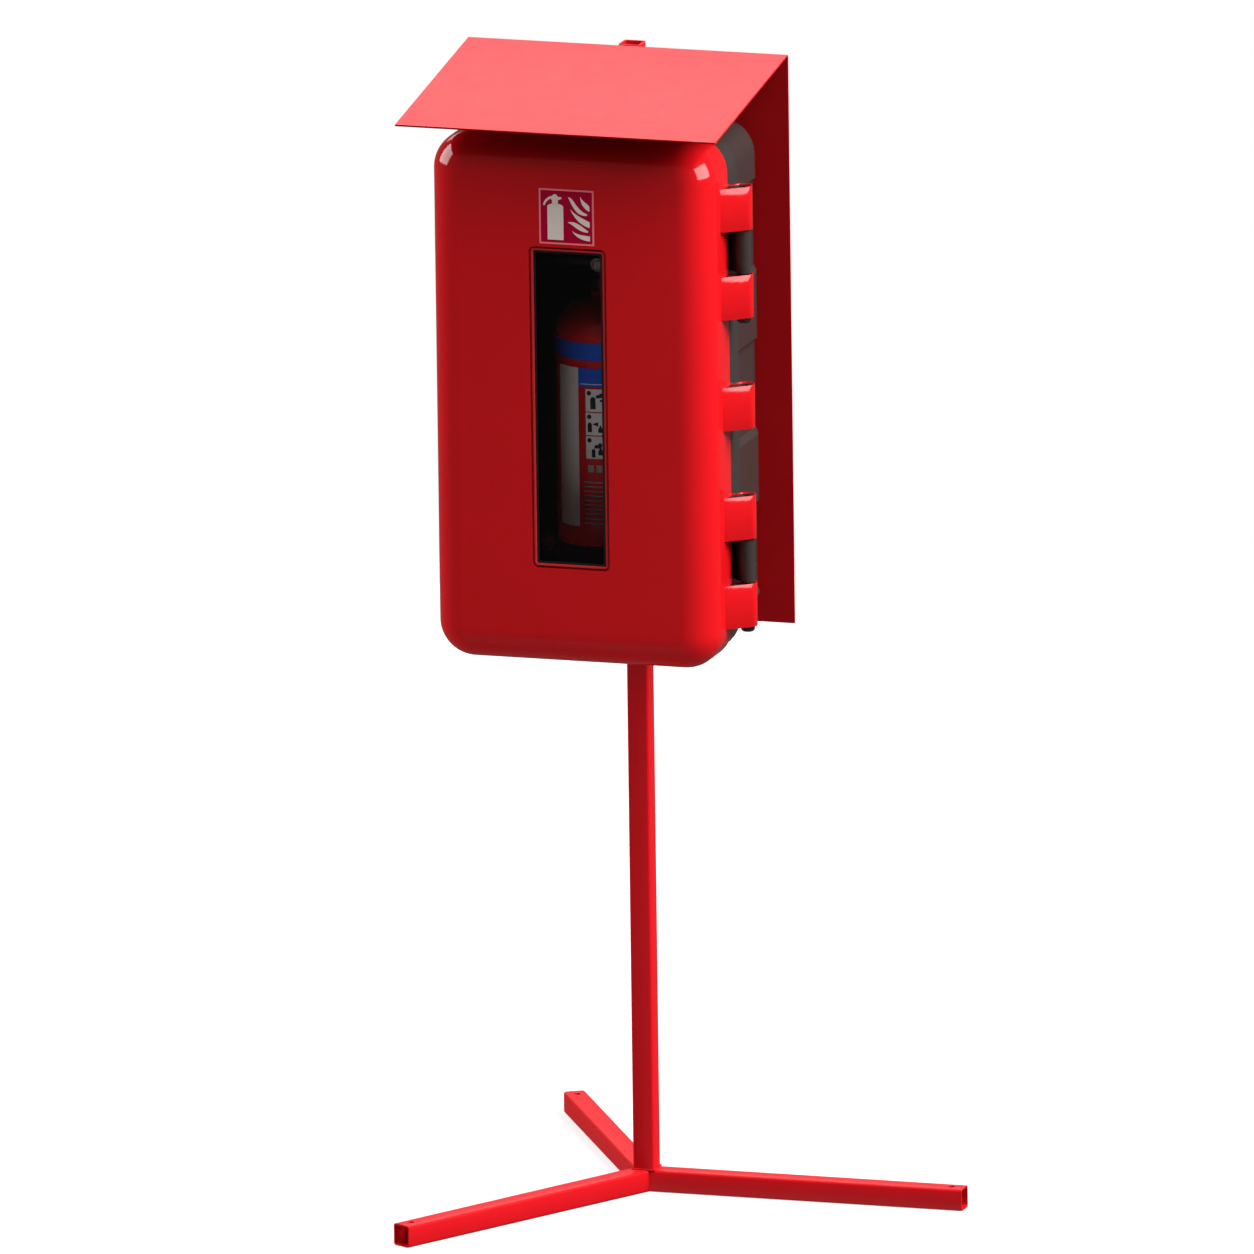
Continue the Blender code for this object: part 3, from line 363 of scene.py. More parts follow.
class Bench:
    """Modelling with Blender's own operators, always on one object and one selection at a time."""

    @staticmethod
    def clear() -> None:
        """Deselect every object."""
        bpy.ops.object.select_all(action="DESELECT")

    @staticmethod
    def only(obj: Piece) -> None:
        """Select one object alone and make it active.

        Args:
            obj: The object.
        """
        Bench.clear()
        obj.select_set(True)
        bpy.context.view_layer.objects.active = obj

    @staticmethod
    def named(name: str) -> Piece:
        """Give the object that was just added its name, and move its place into its mesh.

        Args:
            name: The object's and the mesh's new name.

        Returns:
            The object.
        """
        obj = bpy.context.active_object
        obj.name = name
        obj.data.name = name
        Bench.only(obj)
        bpy.ops.object.transform_apply(location=True, rotation=True, scale=True)
        return obj

    @staticmethod
    def block(name: str, low: Point, high: Point) -> Piece:
        """Add a box between two corners.

        Args:
            name: The object's name.
            low: The lowest corner.
            high: The highest corner.

        Returns:
            The object.
        """
        lowest, highest = Vector(low), Vector(high)
        Bench.clear()
        bpy.ops.mesh.primitive_cube_add(size=1.0, location=(lowest + highest) / 2, scale=highest - lowest)
        return Bench.named(name)

    @staticmethod
    def rod(name: str, radius: float, start: Point, end: Point, sides: int = 32) -> Piece:
        """Add a round rod from one point to another.

        Args:
            name: The object's name.
            radius: Its radius.
            start: The middle of one end.
            end: The middle of the other end.
            sides: How many sides it has.

        Returns:
            The object.
        """
        first, last = Vector(start), Vector(end)
        run = last - first
        turn = Vector((0.0, 0.0, 1.0)).rotation_difference(run).to_euler()
        Bench.clear()
        bpy.ops.mesh.primitive_cylinder_add(
            vertices=sides, radius=radius, depth=run.length, location=(first + last) / 2, rotation=turn
        )
        return Bench.named(name)

    @staticmethod
    def sheet(name: str, outline: list[Point], push: Point) -> Piece:
        """Fill an outline and extrude it.

        Args:
            name: The object's name.
            outline: Its corners in order, all in one plane.
            push: The extrusion, or zero for a single face.

        Returns:
            The object.
        """
        Bench.clear()
        bpy.ops.mesh.primitive_circle_add(vertices=len(outline), radius=1.0, fill_type="NGON")
        obj = Bench.named(name)
        for vertex, corner in zip(obj.data.vertices, outline):
            vertex.co = corner
        if Vector(push).length > 0:
            with Bench.edit(obj):
                bpy.ops.mesh.extrude_region_move(TRANSFORM_OT_translate={"value": push})
            Bench.outwards(obj)
        return obj

    @staticmethod
    def frame(name: str, outer: list[Point], inner: list[Point], push: Point) -> Piece:
        """Extrude a frame between two outlines that lie in one plane.

        Args:
            name: The object's name.
            outer: The outer outline.
            inner: The outline of the hole.
            push: The extrusion.

        Returns:
            The object.
        """
        obj = Bench.sheet(name, outer, push)
        step = Vector(push)
        lifted = [tuple(Vector(corner) - step) for corner in inner]
        cutter = Bench.sheet(name + "_hole", lifted, tuple(step * 3.0))
        return Bench.combine(obj, [cutter], "DIFFERENCE")

    @staticmethod
    @contextmanager
    def edit(obj: Piece, action: str = "SELECT") -> Iterator[None]:
        """Edit mode on one object, with everything selected at first.

        Args:
            obj: The object.
            action: SELECT, or DESELECT for nothing selected.
        """
        Bench.only(obj)
        bpy.ops.object.mode_set(mode="EDIT")
        bpy.ops.mesh.select_mode(type="VERT")
        bpy.ops.mesh.select_all(action=action)
        yield
        bpy.ops.object.mode_set(mode="OBJECT")

    @staticmethod
    def outwards(obj: Piece) -> None:
        """Merge doubles and turn every face outwards.

        Args:
            obj: The object.
        """
        with Bench.edit(obj):
            bpy.ops.mesh.remove_doubles(threshold=1e-6)
            bpy.ops.mesh.normals_make_consistent(inside=False)

    @staticmethod
    def pick(obj: Piece, kind: str, test: Callable[..., bool]) -> None:
        """Select, in edit mode, the edges or the faces that pass a test.

        Args:
            obj: The object in edit mode.
            kind: EDGE or FACE.
            test: Takes an edge's two ends, or a face's middle.
        """
        bpy.ops.mesh.select_mode(type=kind)
        mesh = bmesh.from_edit_mesh(obj.data)
        for item in mesh.edges if kind == "EDGE" else mesh.faces:
            spots = [end.co for end in item.verts] if kind == "EDGE" else [item.calc_center_median()]
            item.select_set(test(*spots))
        mesh.select_flush_mode()
        bmesh.update_edit_mesh(obj.data)

    @staticmethod
    def round_edges(obj: Piece, test: Callable[..., bool], width: float, steps: int) -> None:
        """Round the edges that pass a test.

        Args:
            obj: The object.
            test: Takes an edge's two ends.
            width: The rounding's radius.
            steps: Its number of segments.
        """
        with Bench.edit(obj, "DESELECT"):
            Bench.pick(obj, "EDGE", test)
            bpy.ops.mesh.bevel(offset=width, segments=steps, profile=0.5, affect="EDGES", clamp_overlap=False)

    @staticmethod
    def apply(obj: Piece, kind: str, **values: object) -> None:
        """Add a modifier and apply it.

        Args:
            obj: The object.
            kind: The modifier's type name.
            **values: Its settings.
        """
        Bench.only(obj)
        modifier = obj.modifiers.new(kind.lower(), kind)
        for key, value in values.items():
            setattr(modifier, key, value)
        bpy.ops.object.modifier_apply(modifier=modifier.name)

    @staticmethod
    def soften(obj: Piece, width: float, steps: int = 2) -> Piece:
        """Round every sharp edge.

        Args:
            obj: The object.
            width: The rounding's width.
            steps: Its number of segments.

        Returns:
            The object.
        """
        limit = math.radians(SHARP_DEGREES)
        Bench.apply(obj, "BEVEL", width=width, segments=steps, limit_method="ANGLE", angle_limit=limit)
        return obj

    @staticmethod
    def combine(obj: Piece, others: list[Piece], operation: str) -> Piece:
        """Cut others out of an object or join them to it, and take them away.

        Args:
            obj: The object that stays.
            others: The cutters or additions.
            operation: DIFFERENCE or UNION.

        Returns:
            The object that stays.
        """
        for other in others:
            Bench.apply(obj, "BOOLEAN", object=other, operation=operation, solver="EXACT")
            bpy.data.objects.remove(other, do_unlink=True)
        return obj

    @staticmethod
    def copy(obj: Piece, move: Point) -> Piece:
        """Copy an object with its own mesh and move the copy's points.

        Args:
            obj: The object.
            move: How far the copy stands from it.

        Returns:
            The copy.
        """
        Bench.only(obj)
        bpy.ops.object.duplicate(linked=False)
        twin = bpy.context.active_object
        bpy.ops.transform.translate(value=move)
        Bench.only(twin)
        bpy.ops.object.transform_apply(location=True, rotation=True, scale=True)
        return twin

    @staticmethod
    def join(name: str, objects: list[Piece]) -> Piece:
        """Join objects into one.

        Args:
            name: The joined object's name.
            objects: The objects, the first of which stays.

        Returns:
            The joined object.
        """
        Bench.only(objects[0])
        for obj in objects:
            obj.select_set(True)
        bpy.ops.object.join()
        objects[0].name = name
        objects[0].data.name = name
        return objects[0]

    @staticmethod
    def row(name: str, obj: Piece, moves: list[Point]) -> Piece:
        """Copy an object by each of the moves, and join it and its copies under a name."""
        return Bench.join(name, [obj] + [Bench.copy(obj, move) for move in moves])


def circle_points(centre: Flat, radius: float, start: float, end: float, steps: int) -> list[Flat]:
    """Points on part of a circle, from one angle in degrees to another, both included."""
    angles = [math.radians(start + (end - start) * step / steps) for step in range(steps + 1)]
    return [(centre[0] + radius * math.cos(a), centre[1] + radius * math.sin(a)) for a in angles]


def bent(first: Flat, second: Flat, third: Flat, fourth: Flat, steps: int = 14) -> list[Flat]:
    """Points on a curve that leaves its first point towards the second and meets its last from the third.

    Args:
        first: Where it starts.
        second: What it leaves towards.
        third: Where it comes in from.
        fourth: Where it ends.
        steps: How many steps it is cut into.

    Returns:
        The points, both ends included.
    """
    points: list[Flat] = []
    for step in range(steps + 1):
        share = step / steps
        rest = 1.0 - share
        weights = (rest**3, 3 * rest**2 * share, 3 * rest * share**2, share**3)
        corners = (first, second, third, fourth)
        x, y = (sum(weight * corner[axis] for weight, corner in zip(weights, corners)) for axis in (0, 1))
        points.append((x, y))
    return points


def rounded_box(half_x: float, half_y: float, radius: float, steps: int = 8) -> list[Flat]:
    """The outline of a rectangle with round corners about the origin.

    Args:
        half_x: Half its width.
        half_y: Half its height.
        radius: Its corners' radius.
        steps: The steps in each corner.

    Returns:
        The outline.
    """
    points: list[Flat] = []
    for quarter, (side_x, side_y) in enumerate(((1, 1), (-1, 1), (-1, -1), (1, -1))):
        centre = (side_x * (half_x - radius), side_y * (half_y - radius))
        points += circle_points(centre, radius, 90.0 * quarter, 90.0 * quarter + 90.0, steps)
    return points


class FacetSmoother:
    """A modifier that shades a CAD node's loose triangles as the smooth faces that they stand for."""

    def __init__(self, degrees: float = 33.0) -> None:
        """Build the node group that the modifier runs.

        Args:
            degrees: Edges sharper than this stay sharp.
        """
        self.group = bpy.data.node_groups.new("facet_smoother", "GeometryNodeTree")
        for way in ("INPUT", "OUTPUT"):
            self.group.interface.new_socket("Geometry", in_out=way, socket_type="NodeSocketGeometry")
        tree = Tree(self.group)
        entry = tree.add("NodeGroupInput").outputs["Geometry"]
        plain = tree.add("GeometryNodeRemoveAttribute", Geometry=entry, Name="custom_normal")
        loose = plain.outputs["Geometry"]
        weld = tree.add("GeometryNodeMergeByDistance", Geometry=loose, Distance=NEAR)
        faces = tree.add("GeometryNodeSetShadeSmooth", Geometry=weld.outputs["Geometry"])
        angle = tree.add("GeometryNodeInputMeshEdgeAngle").outputs["Unsigned Angle"]
        sharp = tree.add("FunctionNodeCompare", A=angle, B=math.radians(degrees))
        sharp.operation = "GREATER_THAN"
        edges = tree.add("GeometryNodeSetShadeSmooth", Geometry=faces.outputs["Geometry"], Shade_Smooth=False)
        edges.domain = "EDGE"
        tree.fill(edges, Selection=sharp.outputs["Result"])
        tree.add("NodeGroupOutput", Geometry=edges.outputs["Geometry"])

    def dress(self, name: str, material: Material) -> None:
        """Give a CAD node its smooth shading and its material.

        Args:
            name: The node's name.
            material: Its material.
        """
        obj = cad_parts[name]
        obj.modifiers.new("facet_smoother", "NODES").node_group = self.group
        for slot in obj.material_slots:
            slot.material = material
        if not obj.material_slots:
            obj.data.materials.append(material)
        LOG.info("dressed %s", name)


# The object


@dataclass
class Cabinet:
    """The cabinet's main sizes, shared by the classes that dress it."""

    bottom: float = 0.655
    top: float = 1.252
    half_width: float = 0.1635
    front: float = -0.249
    rear: float = -0.174
    pin_out: float = 0.1807
    pin_back: float = -0.173
    lug_middle: float = 0.9473
    lug_rises: tuple[float, ...] = (-0.2256, -0.1256, 0.0, 0.1256, 0.2256)
    axis: float = 0.0

    def __post_init__(self) -> None:
        """Find the post's centre line, from which the cabinet is measured sideways."""
        low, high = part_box("post")
        self.axis = (low.x + high.x) / 2

    def at(self, side: float, depth: float, height: float) -> Point:
        """A point measured sideways from the post's centre line."""
        return self.axis + side, depth, height


class Palette:
    """Every finish on the object, each made once and asked for by its short name."""

    def __init__(self) -> None:
        """Make every finish."""
        self.made = {key: finish.make() for key, finish in FINISHES.items()}

    def __getitem__(self, key: str) -> Material:
        """The material of a short name."""
        return self.made[key]


@dataclass
class Dresser:
    """Work on the cabinet, which knows its sizes, the finishes and the body that its pieces ride on."""

    cabinet: Cabinet
    palette: Palette
    body: Body = Body.DOOR

    def at(self, side: float, depth: float, height: float) -> Point:
        """A point of the cabinet, as Cabinet.at says."""
        return self.cabinet.at(side, depth, height)

    def give(self, obj: Piece, finish: str, slot: Slot) -> None:
        """Shade a finished mesh, give it its material and let it ride.

        Args:
            obj: The mesh.
            finish: Its finish's short name.
            slot: Not used.
        """
        obj.data.materials.clear()
        obj.data.materials.append(self.palette[finish])
        Bench.only(obj)
        bpy.ops.object.shade_smooth_by_angle(angle=math.radians(CREASE_DEGREES))
        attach(obj, self.body.value)
        LOG.info("made %s with %d faces", obj.name, len(obj.data.polygons))


@dataclass
class DoorShell(Dresser):
    """The red door: a deep moulded lid with five hinge lugs and a window opening."""

    wall: float = 0.003
    corner: float = 0.042
    edge_round: float = 0.038
    lug_radius: float = 0.0108
    lug_height: float = 0.049
    lug_root: float = -0.2017
    lug_wall: float = 0.0014
    bush_sink: float = 0.0012
    bush_gap: float = 0.0003
    pocket_depth: float = 0.008
    bore_radius: float = 0.0045
    window_half: float = 0.0448
    window_tall: float = 0.1828
    window_middle: float = 0.950
    window_corner: float = 0.0068
    corner_steps: int = 22
    edge_steps: int = 18

    def lug(self) -> tuple[Piece, Piece]:
        """The lowest hinge lug, tangent to its barrel and hollow from above, and the black bush that fills it
        as painted shade for the hollow's dark inside.

        Returns:
            The lug and the bush.
        """
        cab = self.cabinet
        root = Vector((cab.half_width, self.lug_root))
        centre = Vector((cab.pin_out, cab.pin_back))
        reach = centre - root
        lean = math.degrees(math.atan2(reach.y, reach.x) - math.asin(self.lug_radius / reach.length))
        inner = cab.half_width - self.wall / 2
        flat = [tuple(root)] + circle_points(tuple(centre), self.lug_radius, lean - 90.0, 180.0, 40)
        flat += [(inner, cab.rear + 0.0001), (inner, root.y)]
        middle = cab.lug_middle + cab.lug_rises[0]
        low, high = middle - self.lug_height / 2, middle + self.lug_height / 2
        obj = Bench.sheet("lug", [cab.at(x, y, low) for x, y in flat], (0.0, 0.0, self.lug_height))
        near = cab.half_width + self.lug_wall / 2
        barrel = circle_points(tuple(centre), self.lug_radius - self.lug_wall, lean - 90.0, 180.0, 40)
        start = barrel[0][1] - (barrel[0][0] - near) * math.tan(math.radians(lean))
        hollow = [(near, start)] + barrel + [(near, cab.rear - self.lug_wall)]
        floor = high - self.pocket_depth
        cutter = Bench.sheet("lug_pocket", [cab.at(x, y, floor) for x, y in hollow], (0.0, 0.0, 0.02))
        Bench.combine(obj, [cutter], "DIFFERENCE")
        Bench.soften(obj, 0.0002)
        gap = self.bush_gap
        tall = self.pocket_depth - self.bush_sink - gap
        bush = Bench.sheet("lug_bush", [cab.at(x, y, floor + gap) for x, y in hollow], (0.0, 0.0, tall))
        shrink = 1.0 - gap / self.lug_radius
        centre = cab.at(*self.middle_of(hollow), floor)
        with Bench.edit(bush):
            bpy.ops.transform.resize(value=(shrink, shrink, 1.0), center_override=centre)
        return obj, bush

    @staticmethod
    def middle_of(outline: list[Flat]) -> Flat:
        """The middle of an outline's box."""
        across, along = zip(*outline)
        return (min(across) + max(across)) / 2, (min(along) + max(along)) / 2

    def build(self) -> None:
        """Build the door shell in place of its CAD node."""
        cab = self.cabinet
        lowest, highest = (-cab.half_width, cab.front, cab.bottom), (cab.half_width, cab.rear, cab.top)
        door = Bench.block("door_moulding", cab.at(*lowest), cab.at(*highest))
        depth = cab.rear - cab.front
        Bench.round_edges(door, lambda a, b: abs(a.y - b.y) > depth / 2, self.corner, self.corner_steps)
        Bench.round_edges(
            door,
            lambda a, b: abs(a.y - cab.front) < NEAR and abs(b.y - cab.front) < NEAR,
            self.edge_round,
            self.edge_steps,
        )
        with Bench.edit(door, "DESELECT"):
            Bench.pick(door, "FACE", lambda middle: abs(middle.y - cab.rear) < NEAR)
            bpy.ops.mesh.delete(type="FACE")
        Bench.outwards(door)
        Bench.apply(door, "SOLIDIFY", thickness=self.wall, offset=-1.0, use_even_offset=True)
        lug, bush = self.lug()
        rises = [rise - cab.lug_rises[0] for rise in cab.lug_rises[1:]]
        moves = [(0.0, 0.0, rise) for rise in rises]
        plugs = Bench.row("hinge_bushes", bush, moves)
        Bench.combine(door, [Bench.copy(lug, move) for move in moves] + [lug], "UNION")
        low, high = (cab.at(cab.pin_out, cab.pin_back, end) for end in (cab.bottom, cab.top))
        Bench.combine(plugs, [Bench.rod("bush_bore", self.bore_radius, low, high, 32)], "DIFFERENCE")
        Bench.soften(plugs, 0.0003)
        # The bushes are black so that the lug tops show dark: painted shade for the hollow lugs.
        self.give(plugs, "dark", Slot.GREY_PLASTIC)
        flat = rounded_box(self.window_half, self.window_tall, self.window_corner)
        outline = [cab.at(x, cab.front - 0.004, self.window_middle + z) for x, z in flat]
        bore = Bench.rod("bore", self.bore_radius, low, high, 32)
        Bench.combine(door, [bore, Bench.sheet("window_cut", outline, (0.0, 0.012, 0.0))], "DIFFERENCE")
        self.give(door, "door", Slot.RED_PLASTIC)
        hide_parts("door_shell")


@dataclass
class WindowTrim(Dresser):
    """The window's bead, a thin black strip in the groove round it that is painted shade for the groove, the
    pane's gasket, and the clamp ring that holds the pane from inside.
    """

    middle: float = 0.950
    half: float = 0.0400
    tall: float = 0.1780
    corner: float = 0.0020
    bead: float = 0.0024
    groove: float = 0.0045
    front: float = -0.2478
    back: float = -0.2460
    pane_front: float = -0.2457
    pane_back: float = -0.2427
    screw_radius: float = 0.0026
    screw_out: float = 0.0085

    def loop(self, grow: float, depth: float) -> list[Point]:
        """The window's outline at a depth, grown by so much."""
        flat = rounded_box(self.half + grow, self.tall + grow, max(self.corner + grow, 0.0006), 6)
        return [self.at(x, depth, self.middle + z) for x, z in flat]

    def ring(self, name: str, outer: float, inner: float, front: float, back: float) -> Piece:
        """A frame round the window: its outline and its hole lie so far outside the opening."""
        return Bench.frame(name, self.loop(outer, front), self.loop(inner, front), (0.0, back - front, 0.0))

    def screws(self) -> Piece:
        """The clamp ring's screws: one turned head with a cross recess, copied round the ring.

        Returns:
            The screws.
        """
        across, up = self.half + self.screw_out, self.tall + self.screw_out
        rows = (-1.0, -0.5, 0.0, 0.5, 1.0)
        spots = [(side * across, share * (up - 0.004)) for side in (-1, 1) for share in rows]
        spots += [(0.0, up), (0.0, -up)]
        first = spots[0]
        start = self.at(first[0], self.pane_back + 0.0019, self.middle + first[1])
        end = self.at(first[0], self.pane_back + 0.0034, self.middle + first[1])
        head = Bench.rod("clamp_screw", self.screw_radius, start, end, 24)
        Bench.soften(head, 0.0006, 3)
        for wide, high in ((0.0016, 0.0003), (0.0003, 0.0016)):
            low = (end[0] - wide, end[1] - 0.0006, end[2] - high)
            top = (end[0] + wide, end[1] + 0.001, end[2] + high)
            Bench.combine(head, [Bench.block("recess", low, top)], "DIFFERENCE")
        moves = [(x - first[0], 0.0, z - first[1]) for x, z in spots[1:]]
        return Bench.row("pane_clamp_screws", head, moves)

    def build(self) -> None:
        """Build the trim in place of the plain frame."""
        bead = self.ring("window_bead", self.groove, 0.0, self.front, self.back)
        floor = self.loop(self.groove + 0.001, self.front - 0.001)
        cutter = Bench.frame("groove", floor, self.loop(self.bead, self.front - 0.001), (0.0, 0.0022, 0.0))
        Bench.combine(bead, [cutter], "DIFFERENCE")
        axis = self.cabinet.axis

        def inner(end: Vector) -> bool:
            """Whether a point lies on the front's inner edge."""
            within = abs(end.x - axis) < self.half + NEAR and abs(end.z - self.middle) < self.tall + NEAR
            return within and abs(end.y - self.front) < NEAR

        Bench.round_edges(bead, lambda a, b: inner(a) and inner(b), 0.0011, 3)
        # The bead takes a paler red than the door: a painted highlight along its rounded inner edge.
        self.give(bead, "bead", Slot.RED_PLASTIC)
        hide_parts("window_frame")
        # The thin black strip in the bead's groove is painted shade: it darkens the groove where shade falls.
        shade_seal_edges = (self.groove - 0.0006, self.bead + 0.0009)
        shade_seal_depths = (self.front + 0.0006, self.back - 0.0006)
        gasket_depths = (self.pane_front - 0.0009, self.pane_front - 0.00005)
        clamp_depths = (self.pane_back + 0.0001, self.pane_back + 0.0020)
        for name, edges, depths, soft, finish, slot in (
            ("window_seal", shade_seal_edges, shade_seal_depths, 0.0003, "rubber", Slot.RUBBER),
            ("pane_gasket", (-0.0001, -0.0026), gasket_depths, 0.0004, "rubber", Slot.RUBBER),
            ("pane_clamp_ring", (0.0125, 0.0022), clamp_depths, 0.0005, "dark", Slot.GREY_PLASTIC),
        ):
            self.give(Bench.soften(self.ring(name, *edges, *depths), soft), finish, slot)
        self.give(self.screws(), "steel", Slot.STEEL)


@dataclass
class Latches(Dresser):
    """The grip ribs and the raised borders of the two clips on the door's left side."""

    rises: tuple[float, ...] = (0.7717, 1.1229)
    half_height: float = 0.0230
    face: float = -0.1638
    thickness: float = 0.0040
    front: float = -0.2040
    rib: float = 0.0011
    rib_count: int = 5
    rib_pitch: float = 0.0036
    border: float = -0.1655

    def build(self) -> None:
        """Add the ribs and a raised border to the lower clip, and copy them to the upper one."""
        low = self.rises[0]
        rise = [(0.0, 0.0, self.rises[1] - low)]
        outer = self.face - self.thickness
        ribs = []
        for step in range(self.rib_count):
            depth = self.front + 0.0040 + self.rib_pitch * step
            ends = (self.at(outer, depth, low + side * (self.half_height - 0.006)) for side in (-1, 1))
            ribs.append(Bench.soften(Bench.rod("latch_rib", self.rib, *ends, 20), 0.0005, 3))
        self.give(Bench.row("latch_grips", Bench.join("latch_grip", ribs), rise), "grey", Slot.GREY_PLASTIC)
        outlines = [
            [self.at(outer - 0.00005, self.border + x, low + z) for x, z in rounded_box(*sizes)]
            for sizes in ((0.0125, 0.0185, 0.004), (0.0113, 0.0173, 0.003))
        ]
        badge = Bench.soften(Bench.frame("latch_border", *outlines, (-0.0006, 0.0, 0.0)), 0.0002)
        self.give(Bench.row("latch_borders", badge, rise), "grey", Slot.GREY_PLASTIC)


@dataclass
class Spot:
    """Where a fixing stands: its place on a face of the sheet or the tube, and the way that it faces."""

    cabinet: Cabinet
    side: float
    height: float
    depth: float
    toward: float
    washer_radius: float = 0.0085
    nut_radius: float = 0.0064
    nut_height: float = 0.0050
    bolt_radius: float = 0.0029
    head_radius: float = 0.0056
    head_height: float = 0.0034
    head_round: float = 0.0024
    socket_radius: float = 0.0022

    def out(self, off: float) -> Point:
        """The point at a distance off the face."""
        return self.cabinet.at(self.side, self.depth + self.toward * off, self.height)

    def washer(self) -> Piece:
        """A flat washer."""
        disc = Bench.rod("washer", self.washer_radius, self.out(0.0001), self.out(0.0013), 40)
        return Bench.soften(disc, 0.0003)

    def nut(self) -> Piece:
        """A hexagon nut with chamfered corners, on the end of a bolt.

        Returns:
            The nut with the bolt's end.
        """
        end = self.out(self.nut_height)
        nut = Bench.rod("nut", self.nut_radius, self.out(0.0), end, 6)
        with Bench.edit(nut, "DESELECT"):
            Bench.pick(nut, "FACE", lambda middle: abs(middle.y - end[1]) < NEAR)
            bpy.ops.mesh.inset(thickness=0.0009, depth=0.0)
            bpy.ops.transform.translate(value=(0.0, self.toward * 0.0006, 0.0))
            bpy.ops.mesh.inset(thickness=0.0018, depth=0.0)
        Bench.soften(nut, 0.0002)
        stub = Bench.rod("bolt_end", self.bolt_radius, self.out(0.0), self.out(0.0078), 28)
        return Bench.join("nut_and_bolt", [nut, Bench.soften(stub, 0.0006)])

    def dome(self) -> Piece:
        """A low round bolt head with a hexagon socket.

        Returns:
            The head.
        """
        top = self.out(self.head_height)
        head = Bench.rod("dome", self.head_radius, self.out(0.0), top, 40)
        Bench.round_edges(
            head, lambda a, b: abs(a.y - top[1]) < NEAR and abs(b.y - top[1]) < NEAR, self.head_round, 5
        )
        socket = Bench.rod("socket", self.socket_radius, self.out(0.0016), self.out(0.0054), 6)
        return Bench.combine(head, [socket], "DIFFERENCE")


@dataclass
class Fixings(Dresser):
    """The bolts, nuts and washers that hold the cabinet, its plate and the post together, and the weld."""

    body: Body = Body.STAND
    plate_back: float = -0.0128
    post_back: float = 0.0125
    inside: float = -0.0186
    washer_thickness: float = 0.0014
    side: float = 0.100
    heights: tuple[float, float] = (0.740, 1.180)
    post_heights: tuple[float, ...] = (0.700, 0.990, 1.270)
    weld_radius: float = 0.0011
    weld_ripple: float = 0.0013

    def weld(self, path: list[Point]) -> Piece:
        """A weld bead along a path, rippled as it was laid.

        Args:
            path: The corners that it passes.

        Returns:
            The bead.
        """
        drops = []
        for start, end in zip(path, path[1:]):
            first, last = Vector(start), Vector(end)
            count = max(2, round((last - first).length / self.weld_ripple))
            drops += [first + (last - first) * (step + 0.5) / count for step in range(count)]
        first = drops[0]
        Bench.clear()
        bpy.ops.mesh.primitive_uv_sphere_add(
            segments=12, ring_count=8, radius=self.weld_radius, location=first
        )
        return Bench.row("post_weld", Bench.named("drop"), [tuple(place - first) for place in drops[1:]])

    def build(self) -> None:
        """Build every fixing: the first of each kind, copied to its other places."""
        lift = self.washer_thickness
        corners = [(side * self.side, height) for side in (-1, 1) for height in self.heights]
        side, height = corners[0]
        over = [(x - side, 0.0, z - height) for x, z in corners[1:]]
        low = self.post_heights[0]
        rises = [(0.0, 0.0, high - low) for high in self.post_heights[1:]]
        kinds = (
            ("plate_washers", Spot.washer, (side, height, self.plate_back, 1.0), over),
            ("plate_nuts", Spot.nut, (side, height, self.plate_back + lift, 1.0), over),
            ("inner_washers", Spot.washer, (side, height, self.inside, -1.0), over),
            ("inner_bolts", Spot.dome, (side, height, self.inside - lift, -1.0), over),
            ("post_washers", Spot.washer, (0.0, low, self.post_back, 1.0), rises),
            ("post_bolts", Spot.dome, (0.0, low, self.post_back + lift, 1.0), rises),
        )
        for name, kind, place, moves in kinds:
            self.give(Bench.row(name, kind(Spot(self.cabinet, *place)), moves), "steel", Slot.STEEL)
        half, base = 0.0128, 0.0255
        loop = [(-half, -half), (half, -half), (half, half), (-half, half), (-half, -half)]
        self.give(self.weld([self.at(x, y, base) for x, y in loop]), "coat", Slot.COAT)


# Each flame's tip, the pulls and the end of its upper edge, then the start and the pulls of its lower edge.
TONGUES = (
    ((16.4, 24.3), (18.2, 18.6), (23.6, 17.6), (26.8, 13.2), (26.8, 7.6), (21.4, 9.6), (16.0, 15.6)),
    ((2.3, 22.8), (9.2, 22.4), (10.8, 8.8), (24.4, 4.2), (23.6, 2.6), (12.8, 1.8), (8.2, 9.4)),
    ((4.4, 9.8), (8.0, 4.2), (16.4, 0.4), (27.0, -4.4), (26.8, -11.0), (17.2, -8.4), (9.0, -1.8)),
    ((1.3, -5.8), (8.4, -3.8), (14.2, -6.6), (25.6, -15.4), (24.0, -16.4), (13.6, -16.0), (8.8, -8.8)),
    ((6.6, -15.3), (10.4, -19.2), (16.8, -19.6), (27.2, -20.6), (27.0, -26.1), (17.6, -25.8), (9.8, -21.6)),
)


